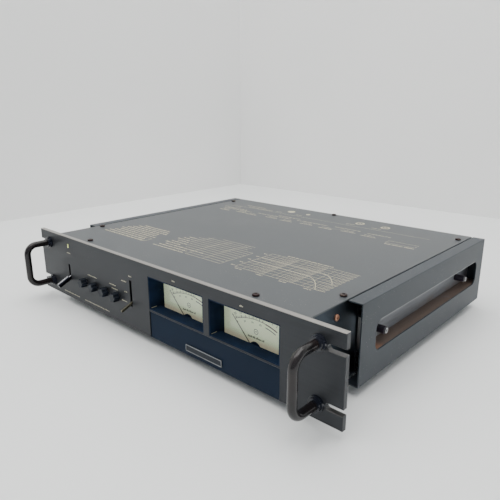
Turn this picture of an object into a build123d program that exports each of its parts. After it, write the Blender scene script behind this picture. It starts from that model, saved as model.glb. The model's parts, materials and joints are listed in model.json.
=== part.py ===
"""A slim rack-mount power amplifier with two level meters, built from its separate pieces.

Millimetres, +Z up. X runs across the front, seen from the front with +X to the right, and +Y runs from
the front panel to the back. The ground is at Z = 0 and the origin is the middle of the footprint.
A depth is a distance behind the face of the front panel, and a height is one above the panel's lower edge.
"""

import math
import os

from build123d import *

# ---------------------------------------------------------------- driving dimensions

# Front panel
PANEL_W = 480.0
PANEL_H = 82.0
PANEL_T = 5.0
PANEL_LIFT = 9.0                 # lower edge above the ground
PANEL_EDGE = 0.5                 # chamfer around the face
RACK_SLOT_W = 5.6
RACK_SLOT_L = 16.5               # from the end of the panel to the end of the slot
RACK_SPACING = 50.0

# Case
CASE_W = 403.4                   # top cover
CASE_BACK = 349.5                # depth of the back face
CASE_TOP = 80.0                  # height of the top face
CASE_BOTTOM = 1.0
SHEET = 1.6                      # frame sheet
COVER_SHEET = 1.2                # covers and bottom
FLANGE = 12.0                    # folded edges of the frame
FOLD_INSET = 4.0                 # ends of a fold to the corner beside it
COVER_OVERHANG = 1.0             # cover past the side plates
JOINT_GAP = 0.5                  # front panel to the top cover

# Side covers
SIDE_FRONT = 60.0                # depth where they begin
SIDE_WIDE = 15.8                 # how far they stand out from the top cover
SIDE_SLOT_FRONT = 26.0           # front of the cover to the long opening
SIDE_SLOT_BACK = 18.8            # long opening to the back
SIDE_SLOT_H = (26.5, 55.8)       # height range of the opening
SIDE_SLOT_R = 8.0
SIDE_GAP = 1.8                   # between the top cover and a side cover

# Heat sinks
SINK_FRONT = 20.0                # front of the side cover to the front of the fins
SINK_BACK = 1.5                  # fins to the folded back of the side cover
SINK_TOP = 4.0                   # top cover to the top of the heat sink
SINK_WEB = 1.6                   # outside the side plate
SINK_PAD = 5.0                   # inside the side plate, under the transistors
SINK_WALL = 2.0                  # fin thickness
SINK_FINS = (7.0, 13.0, 19.0, 58.0, 65.0, 72.0)
FIN_GAP = 0.4                    # fin tips to the side cover
SINK_WINDOW_INSET = 24.0         # ends of the side cover to the ends of the pad's window
SINK_WINDOW_H = (15.0, 67.0)
STANDOFF_INSET = 25.0            # ends of the long opening to the standoffs
STANDOFF_H = 38.0
STANDOFF_R = 3.8
STANDOFF_L = 11.0

# Handles
HANDLE_INSET = 24.0              # end of the panel to the middle of a handle
HANDLE_SPAN = 52.5
HANDLE_REACH = 31.5              # panel face to the middle of the grip
HANDLE_R = 4.0
HANDLE_BEND = 12.0
COLLAR_BASE_R = 7.2
COLLAR_TOP_R = 6.0
COLLAR_STEP = 2.5                # thickness of each of the two tiers

# Meters
METER_W = 85.5
METER_H = (32.2, 69.3)
METER_LEFT = -0.5                # left edge of the first window
MULLION = 7.5                    # panel between the two windows
METER_LENS_D = 13.5
METER_SCALE_D = 20.5
METER_DEEP = 40.0
METER_WALL = 1.5
PIVOT_H = 21.5
NEEDLE_L = 43.0
NEEDLE_REST = 44.0               # degrees left of upright
NEEDLE_SHAFT_R = 1.0
NOTCH_H = 30.0                   # trim panel opening under the meters

# Front controls
KNOB_X = (-131.5, -107.9, -84.3, -60.7)
KNOB_H = 31.2
KNOB_R = 5.6
KNOB_OUT = 8.0                   # panel face to the front of a knob
SHAFT_R = 3.0
LED_X = -167.8
LED_H = 70.5
POWER_X = -169.3
POWER_PIVOT_D = 13.0
POWER_PIVOT_H = 36.0
POWER_TILT = 27.0                # degrees below level at rest
POWER_R = 3.2
POWER_STEM_R = 1.6
POWER_REACH = 17.0               # panel face to the tip of the lever
POWER_SLOT = 4.2
POWER_MARGIN = 1.7               # slot past the lever at each limit
RANGE_X = -33.3
RANGE_PIVOT_D = 25.0
RANGE_PIVOT_H = 41.4
RANGE_TILT = 24.0
RANGE_REACH = 13.5
RANGE_T = 2.2
RANGE_BLADE_H = 2.4
RANGE_SLOT = 4.0
RANGE_MARGIN = 2.8

# Back panel fittings
POST_X = (-63.6, -31.2, 58.9, 97.9)
POST_H = 44.0
POST_R = 2.0
CAP_R = 5.5
CAP_L = 14.0
POST_REACH = 20.0                # back panel face to the tip of the caps
JACK_X = (-150.0, -125.0)
JACK_H = 44.0
JACK_R = 4.15
JACK_L = 9.0
GLAND_X = 165.0
GLAND_H = 30.0
GLAND_BORE_R = 3.5
FUSE_X = 138.0
FUSE_H = 44.0

# Feet
FOOT_INSET = 31.7                # sides of the case to the middle of a foot
FOOT_FRONT = 45.0
FOOT_BACK = 39.5
FOOT_R = 12.0

# Fits
RUNNING = 0.05                   # radial clearance of a shaft that turns
CLEAR = 0.25                     # clearance of a piece set in an opening
SCREW_CLEAR = 0.25
CUT = 3.0                        # a cut runs this far past the sheet it goes through

# ---------------------------------------------------------------- derived places

FRONT_Y = -(CASE_BACK + POST_REACH - HANDLE_REACH - HANDLE_R) / 2
CASE_HALF = CASE_W / 2
PLATE_OUT = CASE_HALF - COVER_OVERHANG
PLATE_IN = PLATE_OUT - SHEET
COVER_UNDER = CASE_TOP - COVER_SHEET
FLOOR = CASE_BOTTOM + COVER_SHEET
FRONT_SHEET = (PANEL_T, PANEL_T + SHEET)
BACK_SHEET = (CASE_BACK - SHEET, CASE_BACK)
SINK_FACE = PLATE_OUT + SINK_WEB
SIDE_OUT = CASE_HALF + SIDE_WIDE
SIDE_IN = SIDE_OUT - COVER_SHEET
SIDE_SLOT_D = (SIDE_FRONT + SIDE_SLOT_FRONT, CASE_BACK - SIDE_SLOT_BACK)
SINK_WINDOW_D = (SIDE_FRONT + SINK_WINDOW_INSET, CASE_BACK - SINK_WINDOW_INSET)
STANDOFF_D = (SIDE_SLOT_D[0] + STANDOFF_INSET, SIDE_SLOT_D[1] - STANDOFF_INSET)
HANDLE_X = PANEL_W / 2 - HANDLE_INSET
HANDLE_H = (PANEL_H / 2 - HANDLE_SPAN / 2, PANEL_H / 2 + HANDLE_SPAN / 2)
METER_X = (METER_LEFT + METER_W / 2, METER_LEFT + METER_W * 1.5 + MULLION)
FOOT_X = CASE_HALF - FOOT_INSET
FOOT_D = (FOOT_FRONT, CASE_BACK - FOOT_BACK)
RACK_H = (PANEL_H / 2 - RACK_SPACING / 2, PANEL_H / 2 + RACK_SPACING / 2)
NOTCH_X = (METER_X[0] - METER_W / 2, METER_X[1] + METER_W / 2)


def facing(depth):
    """A plane seen from the front at this depth: local x is across and local y is height."""
    return Plane((0, FRONT_Y + depth, PANEL_LIFT), x_dir=(1, 0, 0), z_dir=(0, -1, 0))


def sideways(x):
    """A plane seen from the right at this X: local x is depth and local y is height."""
    return Plane((x, FRONT_Y, PANEL_LIFT), x_dir=(0, 1, 0), z_dir=(1, 0, 0))


def level(height):
    """A plane seen from above at this height: local x is across and local y is depth."""
    return Plane((0, FRONT_Y, PANEL_LIFT + height), x_dir=(1, 0, 0), z_dir=(0, 0, 1))


def slab(x, depth, height, mode=Mode.ADD):
    """A straight block between limits across, in depth and in height."""
    middle = (sum(x) / 2, FRONT_Y + sum(depth) / 2, PANEL_LIFT + sum(height) / 2)
    with Locations(middle):
        Box(x[1] - x[0], depth[1] - depth[0], height[1] - height[0], mode=mode)


def rod_back(x, depth, height, radius, mode=Mode.ADD):
    """A round bar from front to back."""
    place = Location((x, FRONT_Y + sum(depth) / 2, PANEL_LIFT + height), (90, 0, 0))
    with Locations(place):
        Cylinder(radius, depth[1] - depth[0], mode=mode)


def rod_across(x, depth, height, radius, mode=Mode.ADD):
    """A round bar from left to right."""
    place = Location((sum(x) / 2, FRONT_Y + depth, PANEL_LIFT + height), (0, 90, 0))
    with Locations(place):
        Cylinder(radius, x[1] - x[0], mode=mode)


def rod_up(x, depth, height, radius, mode=Mode.ADD):
    """A round bar from bottom to top."""
    with Locations((x, FRONT_Y + depth, PANEL_LIFT + sum(height) / 2)):
        Cylinder(radius, height[1] - height[0], mode=mode)


def save(piece, name):
    """Labels a finished piece and writes its file."""
    piece.part.label = name
    export_step(piece.part, f"parts/{name}.step")


os.makedirs("parts", exist_ok=True)

# ---------------------------------------------------------------- lever geometry

# A lever's slot is as long as the lever sweeps where it crosses the panel, with a margin at each end.
POWER_SLOT_HALF = (
    POWER_PIVOT_D * math.tan(math.radians(POWER_TILT))
    + POWER_STEM_R / math.cos(math.radians(POWER_TILT))
    + POWER_MARGIN
)
RANGE_SLOT_HALF = (
    RANGE_PIVOT_D * math.tan(math.radians(RANGE_TILT))
    + RANGE_BLADE_H / 2 / math.cos(math.radians(RANGE_TILT))
    + RANGE_MARGIN
)

# ---------------------------------------------------------------- front panel

METER_MID_H = sum(METER_H) / 2
METER_TALL = METER_H[1] - METER_H[0]
NOTCH_W = NOTCH_X[1] - NOTCH_X[0]
NOTCH_MID = sum(NOTCH_X) / 2
BUSHING_R = SHAFT_R + 0.7
HANDLE_BOLT_R = 2.0
HANDLE_BORE = 15.0               # depth of the tapped hole in each end of a handle
LED_W = 2.0
LED_TALL = 5.0

with BuildPart() as front_panel:
    with BuildSketch(facing(0)):
        with Locations((0, PANEL_H / 2)):
            Rectangle(PANEL_W, PANEL_H)
        # open-ended rack slots with round inner ends
        slot_end = PANEL_W / 2 - RACK_SLOT_L + RACK_SLOT_W / 2
        for side in (-1, 1):
            for height in RACK_H:
                with Locations((side * (slot_end + PANEL_W / 2) / 2, height)):
                    Rectangle(PANEL_W / 2 - slot_end, RACK_SLOT_W, mode=Mode.SUBTRACT)
                with Locations((side * slot_end, height)):
                    Circle(RACK_SLOT_W / 2, mode=Mode.SUBTRACT)
        with Locations((NOTCH_MID, NOTCH_H / 2)):
            Rectangle(NOTCH_W, NOTCH_H, mode=Mode.SUBTRACT)
    extrude(amount=-PANEL_T)
    face = front_panel.faces().sort_by(Axis.Y)[0]
    chamfer(face.outer_wire().edges(), PANEL_EDGE)
    with BuildSketch(facing(0)):
        with Locations(*[(x, METER_MID_H) for x in METER_X]):
            Rectangle(METER_W, METER_TALL)
        with Locations((LED_X, LED_H)):
            RectangleRounded(LED_W + 2 * CLEAR, LED_TALL + 2 * CLEAR, LED_W / 2)
        with Locations((POWER_X, POWER_PIVOT_H)):
            Rectangle(POWER_SLOT, 2 * POWER_SLOT_HALF)
        with Locations((RANGE_X, RANGE_PIVOT_H)):
            Rectangle(RANGE_SLOT, 2 * RANGE_SLOT_HALF)
        with Locations(*[(x, KNOB_H) for x in KNOB_X]):
            Circle(BUSHING_R + SCREW_CLEAR)
        with Locations(*[(side * HANDLE_X, h) for side in (-1, 1) for h in HANDLE_H]):
            Circle(HANDLE_BOLT_R + SCREW_CLEAR)
    extrude(amount=-PANEL_T, mode=Mode.SUBTRACT)
save(front_panel, "front_panel")

# ---------------------------------------------------------------- handles

for side, name in ((-1, "handle_left"), (1, "handle_right")):
    with BuildPart() as handle:
        low, high = HANDLE_H
        with BuildLine(sideways(side * HANDLE_X)) as grip:
            FilletPolyline(
                (0, high), (-HANDLE_REACH, high), (-HANDLE_REACH, low), (0, low),
                radius=HANDLE_BEND,
            )
        with BuildSketch(Plane(grip.line @ 0, z_dir=grip.line % 0)):
            Circle(HANDLE_R)
        sweep(path=grip.line)
        for height in HANDLE_H:
            rod_back(side * HANDLE_X, (-HANDLE_BORE, 0), height, HANDLE_BOLT_R, Mode.SUBTRACT)
    save(handle, name)

with BuildPart() as handle_collars:
    for side in (-1, 1):
        for height in HANDLE_H:
            x = side * HANDLE_X
            rod_back(x, (-COLLAR_STEP, 0), height, COLLAR_BASE_R)
            rod_back(x, (-2 * COLLAR_STEP, -COLLAR_STEP), height, COLLAR_TOP_R)
            rod_back(x, (-2 * COLLAR_STEP, 0), height, HANDLE_R + RUNNING, Mode.SUBTRACT)
save(handle_collars, "handle_collars")

BOLT_HEAD_R = 3.5
BOLT_HEAD_T = 2.6
BOLT_TIP_GAP = 2.0
with BuildPart() as handle_bolts:
    for side in (-1, 1):
        for height in HANDLE_H:
            x = side * HANDLE_X
            rod_back(x, (PANEL_T, PANEL_T + BOLT_HEAD_T), height, BOLT_HEAD_R)
            rod_back(x, (BOLT_TIP_GAP - HANDLE_BORE, PANEL_T), height, HANDLE_BOLT_R - RUNNING)
save(handle_bolts, "handle_bolts")

# ---------------------------------------------------------------- frame: front, sides, bottom, back

FRONT_SIDE_FLANGE = 50.0
FRONT_TOP_FLANGE = 18.0
FRAME_SCREW_D = 46.0
FRAME_SCREW_H = (20.0, 68.0)
FRAME_SCREW_R = 1.5
COVER_SCREW_R = 1.5
COVER_SCREW_INSET = 7.2
COVER_SCREW_X = CASE_HALF - COVER_SCREW_INSET
FRONT_COVER_SCREWS = [(side * 138.0, 15.0) for side in (-1, 1)]
SIDE_COVER_SCREW_D = (66.0, CASE_BACK - 26.5)
SIDE_COVER_SCREWS = [(side * COVER_SCREW_X, depth) for side in (-1, 1) for depth in SIDE_COVER_SCREW_D]
BACK_COVER_SCREW = (0.0, CASE_BACK - 6.5)
COVER_SCREWS = [*FRONT_COVER_SCREWS, *SIDE_COVER_SCREWS, BACK_COVER_SCREW]
METER_CASE_DROP = 17.5           # window to the bottom of the meter case
METER_CASE_H = (METER_H[0] - METER_CASE_DROP, METER_H[1] + METER_WALL)
BEZEL_WALL = 1.0

with BuildPart() as sub_panel:
    slab((-PLATE_IN, PLATE_IN), FRONT_SHEET, (FLOOR, COVER_UNDER))
    # folded edges: top, and one at each side
    top_fold = (COVER_UNDER - SHEET, COVER_UNDER)
    slab((-PLATE_IN + FLANGE, PLATE_IN - FLANGE), (PANEL_T, PANEL_T + FRONT_TOP_FLANGE), top_fold)
    for side in (-1, 1):
        fold = sorted((side * PLATE_IN, side * (PLATE_IN - SHEET)))
        slab(fold, (PANEL_T, PANEL_T + FRONT_SIDE_FLANGE), (FLOOR + FOLD_INSET, COVER_UNDER - FOLD_INSET))
    with BuildSketch(facing(FRONT_SHEET[0])):
        with Locations(*[(x, METER_MID_H) for x in METER_X]):
            Rectangle(METER_W, METER_TALL)
        with Locations((LED_X, LED_H)):
            RectangleRounded(LED_W + 2 * CLEAR, LED_TALL + 2 * CLEAR, LED_W / 2)
        with Locations((POWER_X, POWER_PIVOT_H)):
            Rectangle(POWER_SLOT, 2 * POWER_SLOT_HALF)
        with Locations((RANGE_X, RANGE_PIVOT_H)):
            Rectangle(RANGE_SLOT, 2 * RANGE_SLOT_HALF)
        with Locations(*[(x, KNOB_H) for x in KNOB_X]):
            Circle(BUSHING_R + SCREW_CLEAR)
    extrude(amount=-SHEET, mode=Mode.SUBTRACT)
    for side in (-1, 1):
        for height in FRAME_SCREW_H:
            through = sorted((side * (PLATE_IN + CUT), side * (PLATE_IN - CUT)))
            rod_across(through, FRAME_SCREW_D, height, FRAME_SCREW_R + SCREW_CLEAR, Mode.SUBTRACT)
    for x, depth in FRONT_COVER_SCREWS:
        rod_up(x, depth, (COVER_UNDER - CUT, COVER_UNDER + CUT), COVER_SCREW_R + SCREW_CLEAR, Mode.SUBTRACT)
save(sub_panel, "sub_panel")

SIDE_PLATE_D = (FRONT_SHEET[1], BACK_SHEET[0])
SIDE_FOLD_FRONT = 28.0           # the long folds stop short of those of the front and back sheets
SIDE_FOLD_BACK = 18.0
SIDE_FOLD_D = (SIDE_FOLD_FRONT, BACK_SHEET[0] - SIDE_FOLD_BACK)
BACK_FOLD_INSET = 6.0
BACK_SCREW_X = COVER_SCREW_X
BACK_SCREW_R = 1.5


def side_plate(side):
    """A frame side: a sheet with folded top, bottom and back edges and a window for the heat sink pad."""
    with BuildPart() as plate:
        inner = side * PLATE_IN
        folded = side * (PLATE_IN - FLANGE)
        across = sorted((inner, folded))
        slab(sorted((inner, side * PLATE_OUT)), SIDE_PLATE_D, (FLOOR, COVER_UNDER))
        slab(across, SIDE_FOLD_D, (COVER_UNDER - SHEET, COVER_UNDER))
        slab(across, SIDE_FOLD_D, (FLOOR, FLOOR + SHEET))
        upright = (FLOOR + BACK_FOLD_INSET, COVER_UNDER - BACK_FOLD_INSET)
        slab(across, (BACK_SHEET[0] - SHEET, BACK_SHEET[0]), upright)
        through = sorted((side * (PLATE_IN - CUT), side * (PLATE_OUT + CUT)))
        slab(through, SINK_WINDOW_D, SINK_WINDOW_H, Mode.SUBTRACT)
        for height in FRAME_SCREW_H:
            rod_across(through, FRAME_SCREW_D, height, FRAME_SCREW_R + SCREW_CLEAR, Mode.SUBTRACT)
            rod_back(side * BACK_SCREW_X, (BACK_SHEET[0] - SHEET - CUT, CASE_BACK), height,
                     BACK_SCREW_R + SCREW_CLEAR, Mode.SUBTRACT)
        for x, depth in SIDE_COVER_SCREWS:
            if x * side > 0:
                hole = (COVER_UNDER - CUT, COVER_UNDER + CUT)
                rod_up(x, depth, hole, COVER_SCREW_R + SCREW_CLEAR, Mode.SUBTRACT)
    return plate


save(side_plate(-1), "chassis_side_left")
save(side_plate(1), "chassis_side_right")

VENT_COUNT = 9
VENT_PITCH = 9.0
VENT_L = 60.0
VENT_W = 3.0
VENT_X = CASE_W / 4
VENT_D = CASE_BACK * 0.55
FOOT_SCREW_R = 2.0

with BuildPart() as bottom_plate:
    with BuildSketch(level(CASE_BOTTOM)):
        with Locations((0, (FRONT_SHEET[1] + CASE_BACK) / 2)):
            Rectangle(2 * PLATE_OUT, CASE_BACK - FRONT_SHEET[1])
        for side in (-1, 1):
            with Locations((side * VENT_X, VENT_D)):
                with GridLocations(0, VENT_PITCH, 1, VENT_COUNT):
                    SlotOverall(VENT_L, VENT_W, mode=Mode.SUBTRACT)
        with Locations(*[(side * FOOT_X, depth) for side in (-1, 1) for depth in FOOT_D]):
            Circle(FOOT_SCREW_R + SCREW_CLEAR, mode=Mode.SUBTRACT)
    extrude(amount=COVER_SHEET)
save(bottom_plate, "bottom_plate")

BACK_FOLD = 13.0
GLAND_BODY_R = 5.5
FUSE_BODY_R = 6.0
POST_BASE_R = 3.2

with BuildPart() as rear_panel:
    slab((-PLATE_OUT, PLATE_OUT), BACK_SHEET, (FLOOR, COVER_UNDER))
    fold_half = PLATE_IN - FLANGE - FOLD_INSET
    fold_d = (BACK_SHEET[0] - BACK_FOLD, BACK_SHEET[0])
    slab((-fold_half, fold_half), fold_d, (COVER_UNDER - SHEET, COVER_UNDER))
    with BuildSketch(facing(BACK_SHEET[0])):
        with Locations(*[(x, POST_H) for x in POST_X]):
            Circle(POST_BASE_R + SCREW_CLEAR)
        with Locations(*[(x, JACK_H) for x in JACK_X]):
            Circle(JACK_R + SCREW_CLEAR)
        with Locations((GLAND_X, GLAND_H)):
            Circle(GLAND_BODY_R + CLEAR)
        with Locations((FUSE_X, FUSE_H)):
            Circle(FUSE_BODY_R + CLEAR)
        with Locations(*[(side * BACK_SCREW_X, h) for side in (-1, 1) for h in FRAME_SCREW_H]):
            Circle(BACK_SCREW_R + SCREW_CLEAR)
    extrude(amount=-SHEET, mode=Mode.SUBTRACT)
    x, depth = BACK_COVER_SCREW
    rod_up(x, depth, (COVER_UNDER - CUT, COVER_UNDER + CUT), COVER_SCREW_R + SCREW_CLEAR, Mode.SUBTRACT)
save(rear_panel, "rear_panel")

# ---------------------------------------------------------------- covers and their screws

SCREW_HEAD_R = 3.4
SCREW_HEAD_T = 1.9
SCREW_L = 7.0
HEAD_ROUND = 0.45                # share of a head's thickness that its edge is rounded by
RECESS_W = 0.24                  # cross recess, as shares of the head's radius
RECESS_L = 1.0
RECESS_DEEP = 1.0
COVER_FRONT = PANEL_T + JOINT_GAP

with BuildPart() as top_cover:
    with BuildSketch(level(COVER_UNDER)):
        with Locations((0, (COVER_FRONT + CASE_BACK) / 2)):
            Rectangle(CASE_W, CASE_BACK - COVER_FRONT)
        with Locations(*COVER_SCREWS):
            Circle(COVER_SCREW_R + SCREW_CLEAR, mode=Mode.SUBTRACT)
    extrude(amount=COVER_SHEET)
    rim = top_cover.faces().sort_by(Axis.Z)[-1].outer_wire()
    chamfer(rim.edges(), COVER_SHEET / 3)
save(top_cover, "top_cover")


def pan_screw(plane, spots, head_r, head_t, shank_r, shank_l):
    """Pan-head cross-recess screws at these spots of a plane, their heads standing on it."""
    with BuildPart() as screws:
        with BuildSketch(plane):
            with Locations(*spots):
                Circle(head_r)
        extrude(amount=head_t)
        crown = screws.faces().group_by(Axis(plane.origin, plane.z_dir))[-1]
        fillet(crown.edges().filter_by(GeomType.CIRCLE), head_t * HEAD_ROUND)
        with BuildSketch(plane):
            with Locations(*spots):
                Circle(shank_r)
        extrude(amount=-shank_l)
        with BuildSketch(plane.offset(head_t)):
            with Locations(*spots):
                Rectangle(RECESS_L * head_r, RECESS_W * head_r)
                Rectangle(RECESS_W * head_r, RECESS_L * head_r)
        extrude(amount=-RECESS_DEEP, mode=Mode.SUBTRACT)
    return screws


save(
    pan_screw(level(CASE_TOP), COVER_SCREWS, SCREW_HEAD_R, SCREW_HEAD_T, COVER_SCREW_R, SCREW_L),
    "cover_screws",
)

FRAME_HEAD_R = 3.0
FRAME_HEAD_T = 1.8
FRAME_SCREW_L = 6.0
BACK_PLANE = Plane((0, FRONT_Y + CASE_BACK, PANEL_LIFT), x_dir=(-1, 0, 0), z_dir=(0, 1, 0))
LEFT_PLANE = Plane((-PLATE_OUT, FRONT_Y, PANEL_LIFT), x_dir=(0, -1, 0), z_dir=(-1, 0, 0))
RIGHT_PLANE = sideways(PLATE_OUT)

frame_spots = (
    (RIGHT_PLANE, [(FRAME_SCREW_D, h) for h in FRAME_SCREW_H]),
    (LEFT_PLANE, [(-FRAME_SCREW_D, h) for h in FRAME_SCREW_H]),
    (BACK_PLANE, [(side * BACK_SCREW_X, h) for side in (-1, 1) for h in FRAME_SCREW_H]),
)
frame_screw_sets = [
    pan_screw(plane, spots, FRAME_HEAD_R, FRAME_HEAD_T, FRAME_SCREW_R, FRAME_SCREW_L)
    for plane, spots in frame_spots
]
with BuildPart() as frame_screws:
    for screws in frame_screw_sets:
        add(screws.part)
save(frame_screws, "frame_screws")

# ---------------------------------------------------------------- side covers and heat sinks

SIDE_TOP_IN = CASE_HALF + SIDE_GAP
SIDE_SCREW_INSET = 30.0
SIDE_SCREW_D = (SIDE_FRONT + SIDE_SCREW_INSET, (SIDE_FRONT + CASE_BACK) / 2, CASE_BACK - SIDE_SCREW_INSET)
SIDE_SCREW_X = CASE_HALF + SIDE_WIDE / 2
SIDE_SCREW_R = 1.5
SIDE_EDGE_R = COVER_SHEET * 0.7  # outside of its folds
BOTTOM_FIN_T = 3.0


def side_cover(side):
    """A channel over the heat sink: long side with a slot, folded top, bottom and back, open at the front."""
    with BuildPart() as cover:
        spread = sorted((side * SIDE_TOP_IN, side * SIDE_OUT))
        length = (SIDE_FRONT, CASE_BACK)
        slab(sorted((side * SIDE_IN, side * SIDE_OUT)), length, (CASE_BOTTOM, CASE_TOP))
        slab(spread, length, (CASE_TOP - COVER_SHEET, CASE_TOP))
        slab(spread, length, (CASE_BOTTOM, CASE_BOTTOM + COVER_SHEET))
        back_fold = (CASE_BACK - COVER_SHEET, CASE_BACK)
        slab(spread, back_fold, (CASE_BOTTOM, CASE_TOP))
        # the back fold reaches in to the back panel, below the top cover
        to_panel = sorted((side * (PLATE_OUT + CLEAR), side * SIDE_TOP_IN))
        slab(to_panel, back_fold, (CASE_BOTTOM, COVER_UNDER - CLEAR))
        long_edges = cover.edges().filter_by(Axis.Y).group_by(Axis.X)[-1 if side > 0 else 0]
        fillet(long_edges, SIDE_EDGE_R)
        inner_x = min(side * SIDE_OUT, side * (SIDE_OUT - CUT))
        with BuildSketch(sideways(inner_x)):
            with Locations((sum(SIDE_SLOT_D) / 2, sum(SIDE_SLOT_H) / 2)):
                RectangleRounded(
                    SIDE_SLOT_D[1] - SIDE_SLOT_D[0], SIDE_SLOT_H[1] - SIDE_SLOT_H[0], SIDE_SLOT_R
                )
        extrude(amount=CUT, mode=Mode.SUBTRACT)
        for depth in SIDE_SCREW_D:
            hole = (CASE_BOTTOM - CUT, CASE_BOTTOM + CUT)
            rod_up(side * SIDE_SCREW_X, depth, hole, SIDE_SCREW_R + SCREW_CLEAR, Mode.SUBTRACT)
    return cover


save(side_cover(-1), "side_cover_left")
save(side_cover(1), "side_cover_right")

SINK_D = (SIDE_FRONT + SINK_FRONT, CASE_BACK - COVER_SHEET - SINK_BACK)
SINK_H = (FLOOR, COVER_UNDER - SINK_TOP)
LEDGE_T = 2.5
STANDOFF_SCREW_R = 1.6


def heat_sink(side):
    """A finned extrusion: web on the side plate, pad through its window, fins above and below the slot."""
    with BuildPart() as sink:
        web = sorted((side * PLATE_OUT, side * SINK_FACE))
        tips = sorted((side * PLATE_OUT, side * (SIDE_IN - FIN_GAP)))
        slab(web, SINK_D, SINK_H)
        pad = sorted((side * (PLATE_IN - SINK_PAD + SHEET), side * PLATE_OUT))
        inset = (CLEAR, -CLEAR)
        pad_d = [d + i for d, i in zip(SINK_WINDOW_D, inset)]
        pad_h = [h + i for h, i in zip(SINK_WINDOW_H, inset)]
        slab(pad, pad_d, pad_h)
        slab(tips, SINK_D, (FLOOR, FLOOR + BOTTOM_FIN_T))
        slab(tips, SINK_D, (SIDE_SLOT_H[0] - LEDGE_T, SIDE_SLOT_H[0]))
        for height in SINK_FINS:
            slab(tips, SINK_D, (height, height + SINK_WALL))
        for depth in STANDOFF_D:
            hole = sorted((side * (SINK_FACE - SINK_PAD), side * (SINK_FACE + CUT)))
            rod_across(hole, depth, STANDOFF_H, STANDOFF_SCREW_R + SCREW_CLEAR, Mode.SUBTRACT)
        for depth in SIDE_SCREW_D:
            hole = (FLOOR - CUT, FLOOR + BOTTOM_FIN_T + CUT)
            rod_up(side * SIDE_SCREW_X, depth, hole, SIDE_SCREW_R + RUNNING, Mode.SUBTRACT)
    return sink


save(heat_sink(-1), "heatsink_left")
save(heat_sink(1), "heatsink_right")

with BuildPart() as side_standoffs:
    for side in (-1, 1):
        for depth in STANDOFF_D:
            limits = sorted((side * SINK_FACE, side * (SINK_FACE + STANDOFF_L)))
            rod_across(limits, depth, STANDOFF_H, STANDOFF_R)
            rod_across(limits, depth, STANDOFF_H, STANDOFF_SCREW_R + SCREW_CLEAR, Mode.SUBTRACT)
save(side_standoffs, "side_standoffs")

STANDOFF_HEAD_R = 2.7
STANDOFF_HEAD_T = 1.6
STANDOFF_SCREW_L = 14.0
STANDOFF_RECESS = 1.2
with BuildPart() as standoff_screws:
    for side in (-1, 1):
        outer = SINK_FACE + STANDOFF_L
        for depth in STANDOFF_D:
            end = outer + STANDOFF_HEAD_T
            head = sorted((side * outer, side * end))
            shank = sorted((side * outer, side * (outer - STANDOFF_SCREW_L)))
            recess = sorted((side * (end - STANDOFF_RECESS), side * (end + CUT)))
            rod_across(head, depth, STANDOFF_H, STANDOFF_HEAD_R)
            rod_across(shank, depth, STANDOFF_H, STANDOFF_SCREW_R)
            rod_across(recess, depth, STANDOFF_H, STANDOFF_HEAD_R / 2, Mode.SUBTRACT)
save(standoff_screws, "standoff_screws")

UNDER = Plane((0, FRONT_Y, PANEL_LIFT + CASE_BOTTOM), x_dir=(1, 0, 0), z_dir=(0, 0, -1))
SIDE_SCREW_L = 4.0
side_spots = [(side * SIDE_SCREW_X, -depth) for side in (-1, 1) for depth in SIDE_SCREW_D]
save(
    pan_screw(UNDER, side_spots, FRAME_HEAD_R, FRAME_HEAD_T, SIDE_SCREW_R, SIDE_SCREW_L),
    "side_cover_screws",
)

# ---------------------------------------------------------------- meters

CASE_OUTER_W = METER_W + 2 * METER_WALL
LENS_T = 1.2
SCALE_T = 0.8
BEZEL_FLANGE = 5.0
BEZEL_FLANGE_T = 1.5
HUB_R = 7.0                      # half-round cover in front of the needle's hub
HUB_H = METER_H[0] - 5.3
HUB_D = (METER_SCALE_D - 3.8, METER_SCALE_D - 2.6)
HUB_FOOT = 9.0                   # width of the cover's foot on each side
MOVEMENT_D = (METER_SCALE_D + SCALE_T, METER_DEEP - METER_WALL)
MOVEMENT_W = 26.0
MOVEMENT_TOP = 46.0
CASE_LOW_IN = METER_CASE_H[0] + METER_WALL
NEEDLE_D = (METER_SCALE_D - 1.8, METER_SCALE_D - 1.4)
NEEDLE_HUB_R = 3.0
NEEDLE_HUB_GAP = 0.7
NEEDLE_HUB_D = (METER_SCALE_D - 2.1, METER_SCALE_D - 0.9)
NEEDLE_SHAFT_D = (NEEDLE_HUB_D[0], METER_SCALE_D + 10.0)
NEEDLE_TAIL = 4.0
NEEDLE_ROOT_W = 0.5              # half widths of the pointer
NEEDLE_TIP_W = 0.22

with BuildPart() as meter_bezel:
    flange_x = (NOTCH_X[0] - BEZEL_FLANGE, NOTCH_X[1] + BEZEL_FLANGE)
    flange_d = (FRONT_SHEET[1], FRONT_SHEET[1] + BEZEL_FLANGE_T)
    slab(flange_x, flange_d, (METER_H[0] - BEZEL_FLANGE, METER_H[1] + BEZEL_FLANGE))
    for x in METER_X:
        outer = (x - METER_W / 2 + CLEAR, x + METER_W / 2 - CLEAR)
        slab(outer, (CLEAR, METER_LENS_D), (METER_H[0] + CLEAR, METER_H[1] - CLEAR))
    for x in METER_X:
        half = METER_W / 2 - CLEAR - BEZEL_WALL
        tunnel_h = (METER_H[0] + CLEAR + BEZEL_WALL, METER_H[1] - CLEAR - BEZEL_WALL)
        slab((x - half, x + half), (-CUT, METER_LENS_D + CUT), tunnel_h, Mode.SUBTRACT)
save(meter_bezel, "meter_bezel")

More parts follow.
